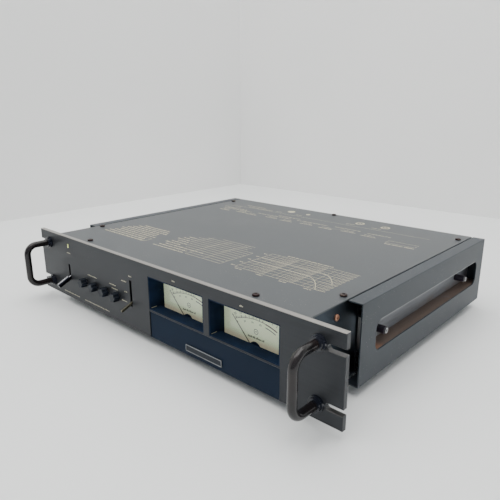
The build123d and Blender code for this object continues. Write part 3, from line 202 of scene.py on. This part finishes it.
def plate(name, field, rim):
    """Name plate with nothing on it: a dark field inside a bright rim."""
    finish = Finish(name, Metallic=0.7)
    grain = finish.noise(900.0, 3.0, (0.05, 1.0, 1.0))
    tone = finish.mix(finish.behind(0.1, 0.3), rim, field)
    finish.set("Base Color", finish.mix(grain.ramp(0.3, 0.7) * 0.3, tone, tuple(c * 1.4 for c in field)))
    finish.set("Roughness", 0.3 + grain * 0.15)
    finish.relief(grain, 0.008)
    return finish


def sprayed(name, colour, rough, coarse=0.018, shine=0.45, dusty=0.35, rim_highlight=False):
    """Satin stove enamel with a faint orange peel, dust and soft patches of handling.

    A rim highlight is a painted highlight: a pale line along the upper edge of the side covers' long
    openings.
    """
    finish = Finish(name, Specular_IOR_Level=shine)
    peel = finish.noise(900.0, 2.0)
    clouds = finish.noise(11.0, 4.0)
    dust = finish.flecks(420.0, 0.2)
    darker = tuple(c * 0.92 for c in colour)
    paler = tuple(c * 1.08 for c in colour)
    tone = finish.mix(clouds.ramp(0.3, 0.7), darker, paler)
    tone = finish.mix(dust * dusty, tone, (0.42, 0.42, 0.40))
    if rim_highlight:
        # painted highlight along the upper rim of each long opening
        rim = finish.above(55.6, 55.9) * (1.0 - finish.above(56.4, 56.8))
        rim = rim * finish.behind(90.0, 96.0) * (1.0 - finish.behind(316.0, 326.0))
        tone = finish.mix(rim * (0.35 + clouds * 0.5), tone, (0.34, 0.35, 0.35))
    finish.set("Base Color", tone)
    finish.set("Roughness", rough + clouds * 0.10 + dust * 0.1)
    finish.relief(peel, coarse)
    return finish


def moulded(name, colour, rough=0.5, grain=0.02, shine=0.5):
    """Moulded plastic or rubber with a fine spark-eroded grain."""
    finish = Finish(name, Specular_IOR_Level=shine)
    pores = finish.noise(1800.0, 2.0)
    clouds = finish.noise(60.0, 3.0)
    finish.set("Base Color", finish.mix(clouds.ramp(0.35, 0.7), colour, tuple(c * 1.5 for c in colour)))
    finish.set("Roughness", rough + pores * 0.14)
    finish.relief(pores, grain)
    return finish


def metal(name, colour, rough=0.28, grain=0.006, stain=(0.25, 0.22, 0.18), stretch=(1.0, 1.0, 1.0)):
    """Bare or plated metal with fine tool marks and light staining."""
    finish = Finish(name, Metallic=1.0)
    marks = finish.noise(1100.0, 3.0, stretch)
    clouds = finish.noise(70.0, 4.0)
    finish.set("Base Color", finish.mix(clouds.ramp(0.55, 0.8) * 0.5, colour, stain))
    finish.set("Roughness", rough + marks * 0.10 + clouds * 0.08)
    finish.relief(marks, grain)
    return finish


def lever_in_painted_light(name, dark, bright):
    """Chrome lever in painted light: near black over most of it as painted shade, with a painted highlight
    along the top.
    """
    finish = Finish(name, Metallic=1.0)
    marks = finish.noise(900.0, 3.0)
    # painted highlight along the top of the lever; the rest is painted shade
    top = (finish.facing(2) + marks * 0.1).ramp(0.82, 0.98)
    finish.set("Base Color", finish.mix(top, dark, bright))
    finish.set("Roughness", 0.16 + marks * 0.08)
    finish.relief(marks, 0.003)
    return finish


def ink(name, colour):
    """Matt screen-print ink, worn a little unevenly."""
    finish = Finish(name)
    wear = finish.noise(500.0, 4.0)
    finish.set("Base Color", finish.mix(wear.ramp(0.35, 0.75), colour, tuple(c * 0.72 for c in colour)))
    finish.set("Roughness", 0.6 + wear * 0.2)
    return finish


def enamelled(name, colour, warm):
    """Gloss brown-black enamel on the handles, with a clear top and faint brush of wear."""
    finish = Finish(name, Coat_Weight=0.25, Coat_Roughness=0.1, Specular_IOR_Level=0.3)
    clouds = finish.noise(45.0, 4.0)
    fine = finish.noise(700.0, 3.0)
    finish.set("Base Color", finish.mix(clouds.ramp(0.4, 0.75), colour, warm))
    finish.set("Roughness", 0.2 + fine * 0.05)
    finish.relief(fine, 0.0015)
    return finish


def rusty_sink(name, colour, rust):
    """Dark anodised heat sink whose ledge in the long opening carries brown rust, freshest at the front,
    with painted shade, near black, over its front end in the open front of the side cover.
    """
    finish = Finish(name, Metallic=0.1)
    streaks = finish.noise(240.0, 4.0, (1.0, 0.06, 1.0))
    clouds = finish.noise(28.0, 4.0)
    ledge = finish.above(22.0, 23.0) * (1.0 - finish.above(27.0, 28.0))
    up = finish.facing(2).ramp(0.4, 0.9)
    fresh = 1.0 - finish.behind(92.0, 112.0)
    tone = finish.mix(streaks.ramp(0.35, 0.7), colour, tuple(c * 1.35 for c in colour))
    stain = finish.mix((fresh + clouds.ramp(0.55, 0.75) * 0.6).ramp(0.0, 1.2), rust, (0.34, 0.16, 0.09))
    tone = finish.mix(up * ledge * clouds.ramp(0.1, 0.4), tone, stain)
    creep = (1.0 - finish.above(27.0, 38.0)) * finish.above(22.0, 23.0)
    tone = finish.mix(creep * clouds.ramp(0.3, 0.7) * 0.8, tone, rust)
    # painted shade: the front of the sink, in the open front of the side cover, near black
    mouth_shade = 1.0 - finish.behind(83.0, 87.0)
    tone = finish.mix(mouth_shade, tone, (0.006, 0.008, 0.012))
    finish.set("Base Color", tone)
    finish.set("Roughness", 0.42 + streaks * 0.2)
    finish.relief(streaks, 0.02)
    return finish


def clear_lens(name):
    """Clear acrylic with a trace of dust and hairlines."""
    finish = Finish(name, Transmission_Weight=1.0, IOR=1.3)
    haze = finish.noise(160.0, 5.0)
    finish.set("Base Color", (0.98, 0.99, 0.98))
    finish.set("Roughness", 0.015 + haze.ramp(0.5, 0.9) * 0.05)
    return finish


def scale_card(name):
    """Cream card with a green cast, with a soft painted glow of its own standing in for light within the
    meter, and painted shade along its lower edge, which is warmer and darker there.
    """
    # painted glow: the card gives off light in its own colour
    finish = Finish(name, Emission_Strength=0.32)
    fibre = finish.noise(700.0, 4.0)
    # painted shade: the lower part of the card warmer and darker
    tone = finish.mix(finish.above(31.0, 37.0), (0.66, 0.60, 0.42), (0.71, 0.80, 0.56))
    tone = finish.mix(fibre.ramp(0.4, 0.8) * 0.5, tone, (0.66, 0.74, 0.51))
    finish.set("Base Color", tone)
    finish.set("Emission Color", tone)
    finish.set("Roughness", 0.55 + fibre * 0.2)
    return finish


def lamp(name, colour):
    """Tinted lens of the indicator, faintly alight."""
    finish = Finish(name, Emission_Strength=0.35, Coat_Weight=0.5)
    core = finish.noise(500.0, 2.0)
    bright = tuple(min(1.0, c * 1.5) for c in colour)
    finish.set("Base Color", finish.mix(core.ramp(0.3, 0.7), colour, bright))
    finish.set("Emission Color", colour)
    finish.set("Roughness", 0.25 + core * 0.1)
    return finish


def board_face(name):
    """Brown phenolic board, with its parts in darker and paler patches."""
    finish = Finish(name)
    fibre = finish.noise(300.0, 4.0)
    parts = finish.above(12.5, 13.0)
    tone = finish.mix(fibre.ramp(0.35, 0.7), (0.20, 0.12, 0.05), (0.28, 0.18, 0.08))
    finish.set("Base Color", finish.mix(parts, tone, (0.05, 0.06, 0.09)))
    finish.set("Roughness", 0.45 + fibre * 0.15)
    return finish


COVER_PAINT = (0.044, 0.051, 0.057)
SIDE_PAINT = (0.024, 0.031, 0.040)
finishes = {
    # the third colour is the painted highlight on the panel's upper edge
    "panel_anodised": anodised("panel_anodised", (0.025, 0.027, 0.031), (0.28, 0.27, 0.25), 0.38),
    "trim_finish": sprayed("trim_finish", (0.005, 0.013, 0.030), 0.6, 0.03, 0.15, 0.0),
    "badge_metal": plate("badge_metal", (0.02, 0.024, 0.032), (0.30, 0.31, 0.32)),
    "handle_finish": enamelled("handle_finish", (0.006, 0.005, 0.006), (0.016, 0.011, 0.011)),
    "collar_finish": enamelled("collar_finish", (0.008, 0.010, 0.017), (0.016, 0.018, 0.026)),
    "cover_paint": sprayed("cover_paint", COVER_PAINT, 0.36),
    # the side covers carry a painted highlight along the upper rim of their long openings
    "side_paint": sprayed("side_paint", SIDE_PAINT, 0.40, shine=0.35, rim_highlight=True),
    "frame_steel": metal("frame_steel", (0.050, 0.064, 0.080), 0.42, 0.008, (0.068, 0.080, 0.092)),
    "rear_paint": sprayed("rear_paint", (0.05, 0.055, 0.06), 0.45),
    "sink_anodised": rusty_sink("sink_anodised", (0.14, 0.147, 0.162), (0.14, 0.102, 0.082)),
    "screw_dark": metal("screw_dark", (0.045, 0.03, 0.03), 0.34),
    "screw_copper": metal("screw_copper", (0.58, 0.30, 0.20), 0.32),
    "screw_light": metal("screw_light", (0.34, 0.34, 0.35), 0.3),
    "standoff_black": moulded("standoff_black", (0.014, 0.010, 0.018), 0.4),
    "meter_black": moulded("meter_black", (0.004, 0.012, 0.032), 0.7, 0.02, 0.15),
    "meter_lens": clear_lens("meter_lens"),
    "scale_card": scale_card("scale_card"),
    "needle_metal": moulded("needle_metal", (0.06, 0.06, 0.05), 0.5),
    # the lever's two colours are painted shade and a painted highlight
    "lever_chrome": lever_in_painted_light("lever_chrome", (0.012, 0.013, 0.018), (0.75, 0.76, 0.78)),
    "lever_dark": metal("lever_dark", (0.10, 0.095, 0.07), 0.36),
    "switch_plastic": moulded("switch_plastic", (0.02, 0.02, 0.02)),
    "knob_plastic": moulded("knob_plastic", (0.004, 0.007, 0.013), 0.42, 0.02, 0.3),
    "shaft_metal": metal("shaft_metal", (0.6, 0.6, 0.6)),
    "pot_metal": metal("pot_metal", (0.55, 0.52, 0.42), 0.35),
    "led_green": lamp("led_green", (0.62, 0.70, 0.22)),
    "transistor_can": metal("transistor_can", (0.55, 0.55, 0.53), 0.3),
    "core_steel": metal("core_steel", (0.10, 0.10, 0.11), 0.5, 0.03, stretch=(1.0, 1.0, 4.0)),
    "winding_wrap": moulded("winding_wrap", (0.35, 0.22, 0.06), 0.4, 0.06),
    "capacitor_sleeve": moulded("capacitor_sleeve", (0.015, 0.03, 0.09), 0.25),
    "board_laminate": board_face("board_laminate"),
    "fuse_plastic": moulded("fuse_plastic", (0.012, 0.012, 0.013), 0.3),
    "jack_metal": metal("jack_metal", (0.62, 0.58, 0.48), 0.22),
    "post_metal": metal("post_metal", (0.60, 0.50, 0.30), 0.25),
    "cap_plastic": moulded("cap_plastic", (0.09, 0.012, 0.012), 0.3),
    "gland_rubber": moulded("gland_rubber", (0.015, 0.015, 0.015), 0.65),
    "foot_rubber": moulded("foot_rubber", (0.02, 0.02, 0.02), 0.7),
}
CREAM = ink("print_cream", (0.62, 0.57, 0.40))
PALE = ink("print_pale", (0.52, 0.50, 0.36))
BLACK = ink("print_black", (0.035, 0.04, 0.035))
ZONE = ink("print_zone", (0.10, 0.05, 0.045))

for part in frame["record"]["subparts"]:
    frame["nodes"][part["node"]].material_slots[0].material = finishes[part["material_slot"]].material

# ---------------------------------------------------------------- printed marks


def spot_on(middle, radius, angle):
    """The point at this distance from the middle, at an angle in degrees clockwise from upright."""
    turn = math.radians(angle)
    return Vector(middle) + Vector((math.sin(turn), math.cos(turn))) * radius


class Print:
    """Ink on a flat face. Marks are drawn in millimetres and become thin solids, just proud of the face."""

    THICK = 0.05

    def __init__(self, origin, across, up):
        self.origin = origin
        self.across = Vector(across)
        self.up = Vector(up)
        self.out = self.across.cross(self.up)
        self.points = []
        self.faces = []

    def outline(self, corners):
        """A convex patch, given its corners anticlockwise."""
        count = len(corners)
        start = len(self.points)
        for lift in (-self.THICK / 2, self.THICK):
            for x, y in corners:
                spot = self.origin + (self.across * x + self.up * y + self.out * lift) * MM
                self.points.append(spot)
        self.faces.append([start + n for n in reversed(range(count))])
        self.faces.append([start + count + n for n in range(count)])
        for n in range(count):
            after = (n + 1) % count
            self.faces.append([start + n, start + after, start + count + after, start + count + n])

    def bar(self, x0, y0, x1, y1):
        self.outline([(x0, y0), (x1, y0), (x1, y1), (x0, y1)])

    def line(self, start, end, width):
        """A straight stroke with square ends."""
        way = Vector(end) - Vector(start)
        side = Vector((-way.y, way.x)).normalized() * width / 2
        a, b = Vector(start), Vector(end)
        self.outline([tuple(a - side), tuple(b - side), tuple(b + side), tuple(a + side)])

    def path(self, points, width):
        for start, end in zip(points, points[1:]):
            self.line(start, end, width)

    def frame(self, x0, y0, x1, y1, width):
        self.path([(x0, y0), (x1, y0), (x1, y1), (x0, y1), (x0, y0)], width)

    def arc(self, middle, radius, start, end, width, steps=24):
        """An arc between two angles, measured in degrees clockwise from upright."""
        angles = [start + (end - start) * n / steps for n in range(steps + 1)]
        self.path([spot_on(middle, radius, angle) for angle in angles], width)

    def stroke(self, middle, angle, near, far, width):
        """A short line along a radius, between two distances from the middle."""
        self.line(spot_on(middle, near, angle), spot_on(middle, far, angle), width)

    def disc(self, middle, radius, steps=20):
        turns = [2 * math.pi * n / steps for n in range(steps)]
        self.outline([(middle[0] + radius * math.cos(t), middle[1] + radius * math.sin(t)) for t in turns])

    def dashes(self, x, y, length, tall, seed, wide=0.8):
        """A row of small blocks in groups, which has the weight of a line of print but spells nothing."""
        draw = random.Random(seed)
        end = x + length
        while x < end - wide:
            for _ in range(draw.randint(3, 8)):
                if x > end - wide:
                    break
                block = wide * draw.uniform(0.6, 1.1)
                self.bar(x, y, x + block, y + tall * draw.choice((0.72, 0.72, 1.0)))
                x += block + wide * 0.42
            x += wide * 0.9

    def figure(self, text, middle, size, lean):
        """A dial figure, centred on a point and leaning clockwise by degrees."""
        letters = bpy.data.curves.new("figure", "FONT")
        letters.body = text
        letters.size = size * MM
        letters.align_x = "CENTER"
        letters.align_y = "CENTER"
        letters.extrude = self.THICK * MM
        letters.resolution_u = 2
        carrier = bpy.data.objects.new("figure", letters)
        bpy.context.scene.collection.objects.link(carrier)
        bpy.context.view_layer.update()
        graph = bpy.context.evaluated_depsgraph_get()
        shape = bpy.data.meshes.new_from_object(carrier.evaluated_get(graph))
        turn = Matrix.Rotation(-math.radians(lean), 3, "Z")
        centre = self.origin + (self.across * middle.x + self.up * middle.y) * MM
        start = len(self.points)
        for vertex in shape.vertices:
            local = turn @ vertex.co
            self.points.append(centre + self.across * local.x + self.up * local.y + self.out * local.z)
        self.faces += [[start + n for n in face.vertices] for face in shape.polygons]
        bpy.data.objects.remove(carrier)
        bpy.data.curves.remove(letters)
        bpy.data.meshes.remove(shape)

    def piece(self, name, finish):
        """The marks so far, as one piece that rides on the amplifier's body."""
        mesh = bpy.data.meshes.new(name)
        mesh.from_pydata(self.points, [], self.faces)
        mesh.validate()
        made = bpy.data.objects.new(name, mesh)
        bpy.context.scene.collection.objects.link(made)
        made.data.materials.append(finish.material)
        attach(made, BODY)


# Top cover: x is across and y is depth behind the face of the panel.
cover_face = Vector((0, panel_low.y, cover_top))
legend = Print(cover_face, (1, 0, 0), (0, 1, 0))

# wiring notes, left
for row, indent in enumerate((0, 2, 5, 9, 3, 7, 11, 16, 22)):
    legend.dashes(-176 + indent, 58 + row * 6.2, 86 - indent - (row % 3) * 5, 2.6, 30 + row, 1.0)
legend.frame(-100, 60, -88, 71, 0.5)

# connection chart, middle: ruled lines with notes at the left end
for row, start in enumerate((-8, -8, 4, -30, -34, -38, -42, -60, -62, -50, -40, -20)):
    depth = 58 + row * 6.4
    legend.line((start, depth), (48 - (row > 8) * 14, depth), 0.5)
    if row < 9:
        length = max(12, start + 64 - (row % 2) * 6)
        legend.dashes(-68 + (row % 3) * 4, depth - 0.8, length, 2.2, 50 + row, 1.0)
for x in (-8, 20, 48):
    legend.line((x, 58), (x, 109), 0.3)
for x in (-44, -12, 16):
    legend.line((x, 90), (x + 10, 128), 0.3)

# response graph, right: a logarithmic grid and two falling curves
GRAPH_LEFT, GRAPH_FRONT, GRAPH_RIGHT, GRAPH_BACK = 66.0, 62.0, 178.0, 122.0
HEAVY = 0.42                     # width of a main line of the grid
for row in range(10):
    depth = GRAPH_FRONT + (GRAPH_BACK - GRAPH_FRONT) * row / 9
    legend.line((GRAPH_LEFT, depth), (GRAPH_RIGHT, depth), HEAVY if row % 3 == 0 else 0.3)
decade = (GRAPH_RIGHT - GRAPH_LEFT) / 3
for step in range(3):
    for tenth in range(1, 10):
        x = GRAPH_LEFT + decade * (step + math.log10(tenth))
        legend.line((x, GRAPH_FRONT), (x, GRAPH_BACK), HEAVY if tenth == 1 else 0.26)
for base, knee in ((88.0, 0.88), (104.0, 0.95)):
    curve = []
    for n in range(25):
        share = n / 24
        fall = 34.0 * max(0.0, share - knee + 0.2) ** 2 / 0.1
        x = GRAPH_LEFT + (GRAPH_RIGHT - GRAPH_LEFT) * share * 0.94
        curve.append((x, max(GRAPH_FRONT, base - fall)))
    legend.path(curve, 0.7)
for n in range(4):
    legend.dashes(70 + n * 29, 57.4, 9, 1.8, 80 + n)
legend.dashes(84, 126, 60, 2.0, 90)
for n in range(5):
    legend.dashes(58, 64 + n * 13, 5, 1.8, 95 + n)

# plan of the back panel along the rear edge
legend.line((-170, 300), (168, 300), 0.35)
for x, radius, filled in ((-63.6, 6.0, True), (-31.2, 3.4, True), (58.9, 6.5, False), (97.9, 6.5, False)):
    if filled:
        legend.disc((x, 320), radius)
    else:
        legend.arc((x, 320), radius - 1.2, 0, 360, 2.4, 28)
        legend.disc((x, 320), 1.4, 12)
for n, x in enumerate((-166, -132, -108, -70, -40, -6, 28, 62, 94)):
    legend.dashes(x, 262 + (n % 2) * 3, 22, 2.3, 110 + n)
    legend.dashes(x + 2, 268 + (n % 2) * 3, 15, 1.6, 130 + n)
REAR_NOTES = (                   # left end, depth and length of each row
    (-168, 275, 60), (-166, 281, 44), (-96, 277, 66), (-60, 284, 40), (-20, 277, 54), (44, 279, 40),
    (96, 276, 34), (-140, 304, 50), (-84, 306, 12), (-44, 306, 12), (44, 307, 14), (84, 307, 14),
    (-150, 312, 40),
)
for row, (x, depth, length) in enumerate(REAR_NOTES):
    legend.dashes(x, depth, length, 2.0, 170 + row, 1.0)
legend.frame(-176, 284, -150, 296, 0.4)
legend.frame(134, 252, 172, 262, 0.4)
legend.dashes(136, 245.5, 38, 3.0, 150, 1.4)
legend.line((40, 262), (62, 276), 0.4)
legend.piece("cover_print", CREAM)

# Front panel: x is across and y is height above its lower edge.
notes = Print(place(0, 0, 0), (1, 0, 0), (0, 0, 1))
FRONT_NOTES = (                  # left end, height, length and height of the marks
    (-172.0, 60.6, 8.0, 1.5), (-124.7, 42.0, 21.9, 1.3), (-76.7, 42.6, 13.9, 1.3), (-72.3, 38.4, 12.9, 1.3),
    (-36.0, 60.7, 6.0, 1.4), (-50.9, 52.4, 10.3, 1.3), (-46.0, 40.5, 6.5, 1.3), (-52.1, 28.9, 10.5, 1.3),
    (-189.0, 6.0, 39.0, 1.4), (-136.9, 6.0, 55.9, 1.4), (40.0, 73.3, 4.5, 1.5), (132.6, 73.0, 4.5, 1.5),
)
for row, (x, height, length, tall) in enumerate(FRONT_NOTES):
    notes.dashes(x, height, length, tall, 200 + row, 0.6)
notes.piece("panel_print", PALE)

# Meter scales: x and y are measured from the needle's pivot.
METER_X = (42.25, 135.25)        # middle of each meter
PIVOT_H = 21.5                   # height of the needles' pivots
SCALE_D = 20.5                   # depth of the scales' faces
LOW = (-0.5, -32.6)              # middle of the scale's flat arc
ARC_R = 65.0
ARC_START = -24.0                # degrees from upright
FIGURE_R = ARC_R + 4.6
FIGURES = (
    (-23.0, "20"), (-17.0, "10"), (-12.0, "7"), (-8.2, "5"),
    (-4.0, "3"), (-0.6, "2"), (2.8, "1"), (6.2, "0"),
)
ZONE_FIGURES = ((11.4, "1"), (15.4, "2"), (19.4, "3"))
LOWER_FIGURES = ((-23.0, "0"), (-14.0, "20"), (-5.0, "50"), (4.0, "80"))
for side, middle in zip(("left", "right"), METER_X):
    face = place(middle, SCALE_D, PIVOT_H)
    scale = Print(face, (1, 0, 0), (0, 0, 1))
    scale.arc(LOW, ARC_R, ARC_START, 8.5, 0.42)
    for tick in range(26):
        scale.stroke(LOW, ARC_START + 1.3 * tick, ARC_R, ARC_R + 1.8, 0.3)
    for angle, text in FIGURES:
        scale.stroke(LOW, angle, ARC_R, ARC_R + 2.6, 0.45)
        scale.figure(text, spot_on(LOW, FIGURE_R, angle), 3.4, angle)
    scale.arc(LOW, ARC_R - 3.2, 9.5, 21.0, 0.8)
    for angle, text in LOWER_FIGURES:
        scale.figure(text, spot_on(LOW, ARC_R - 3.4, angle), 2.6, angle)
    scale.arc((-1.5, 20.9), 2.4, 0, 360, 0.5, 20)
    scale.bar(-2.6, 20.6, -0.4, 21.2)
    scale.dashes(-11.6, 13.6, 21.2, 2.0, 300, 0.7)
    scale.piece("scale_print_" + side, BLACK)
    zone = Print(face, (1, 0, 0), (0, 0, 1))
    zone.arc(LOW, ARC_R, 9.0, 21.5, 1.1)
    for angle, text in ZONE_FIGURES:
        zone.figure(text, spot_on(LOW, FIGURE_R, angle), 3.4, angle)
    zone.piece("scale_zone_" + side, ZONE)

# painted highlight: a pale glint on the lower left corner of each meter's reveal
for side, middle in zip(("left", "right"), METER_X):
    edge = Print(place(middle - 41.5, 2.0, 33.45), (0, 1, 0), (0, 0, 1))
    edge.bar(0, 0, 7.0, 0.7)
    edge.piece("reveal_glint_" + side, PALE)

# ---------------------------------------------------------------- stage, light and camera


def sheet(name, corners, finish):
    """A flat surface of the studio, which isn't part of the amplifier."""
    mesh = bpy.data.meshes.new(name)
    mesh.from_pydata(corners, [], [list(range(len(corners)))])
    made = bpy.data.objects.new(name, mesh)
    bpy.context.scene.collection.objects.link(made)
    made.data.materials.append(finish.material)


def backdrop(name, first, second, rough, clouds, grain):
    """Plain pale paint of the studio, with this many clouds and grains to a metre."""
    finish = Finish(name)
    finish.set("Base Color", finish.mix(finish.noise(clouds).ramp(0.3, 0.7), first, second))
    finish.set("Roughness", rough + finish.noise(grain) * 0.1)
    return finish


floor_finish = backdrop("floor_paint", (0.84, 0.86, 0.86), (0.88, 0.90, 0.90), 0.5, 2.0, 40.0)
wall_finish = backdrop("wall_paint", (0.88, 0.885, 0.88), (0.92, 0.92, 0.915), 0.8, 1.5, 30.0)

FAR = 4.0                        # ends of the floor and walls, in metres
WALL_Y = 0.75
WALL_X = -0.75
WALL_TOP = 2.5
sheet("floor", [(-FAR, -FAR, 0), (FAR, -FAR, 0), (FAR, FAR, 0), (-FAR, FAR, 0)], floor_finish)
back = [(-FAR, WALL_Y, 0), (FAR, WALL_Y, 0), (FAR, WALL_Y, WALL_TOP), (-FAR, WALL_Y, WALL_TOP)]
sheet("wall_back", back, wall_finish)
left = [(WALL_X, -FAR, 0), (WALL_X, FAR, 0), (WALL_X, FAR, WALL_TOP), (WALL_X, -FAR, WALL_TOP)]
sheet("wall_left", left, wall_finish)

world = bpy.data.worlds.new("studio")
bpy.context.scene.world = world
world.use_nodes = True
world.node_tree.nodes["Background"].inputs["Color"].default_value = (0.94, 0.97, 1.0, 1.0)
world.node_tree.nodes["Background"].inputs["Strength"].default_value = 0.62


def soft_light(name, spot, aim, size, power, colour):
    """A rectangular lamp of this size in metres, pointed at a spot."""
    light = bpy.data.lights.new(name, "AREA")
    light.shape = "RECTANGLE"
    light.size, light.size_y = size
    light.energy = power
    light.color = colour
    made = bpy.data.objects.new(name, light)
    made.location = spot
    made.rotation_euler = (Vector(aim) - Vector(spot)).to_track_quat("-Z", "Y").to_euler()
    bpy.context.scene.collection.objects.link(made)


soft_light("overhead", (-0.2, -0.1, 1.9), (0, 0, 0), (2.4, 2.4), 68.0, (1.0, 0.98, 0.95))
soft_light("window", (-1.4, -1.6, 1.3), (0, -0.1, 0.05), (1.2, 1.0), 7.0, (0.94, 0.97, 1.0))

CAMERA_AZIMUTH = 42.97
CAMERA_ELEVATION = 15.99
CAMERA_ROLL = -0.15
CAMERA_SPOT = (410.0, -284.27, 237.1)
FOCAL_LENGTH = 35.75

camera = bpy.data.objects.new("camera", bpy.data.cameras.new("camera"))
bpy.context.scene.collection.objects.link(camera)
camera.data.sensor_width = 36.0
camera.data.lens = FOCAL_LENGTH
camera.data.clip_start = 0.01
turn = Matrix.Rotation(math.radians(CAMERA_AZIMUTH), 4, "Z")
tilt = Matrix.Rotation(math.radians(90 - CAMERA_ELEVATION), 4, "X")
roll = Matrix.Rotation(math.radians(CAMERA_ROLL), 4, "Z")
camera.matrix_world = Matrix.Translation(place(*CAMERA_SPOT)) @ turn @ tilt @ roll
bpy.context.scene.camera = camera
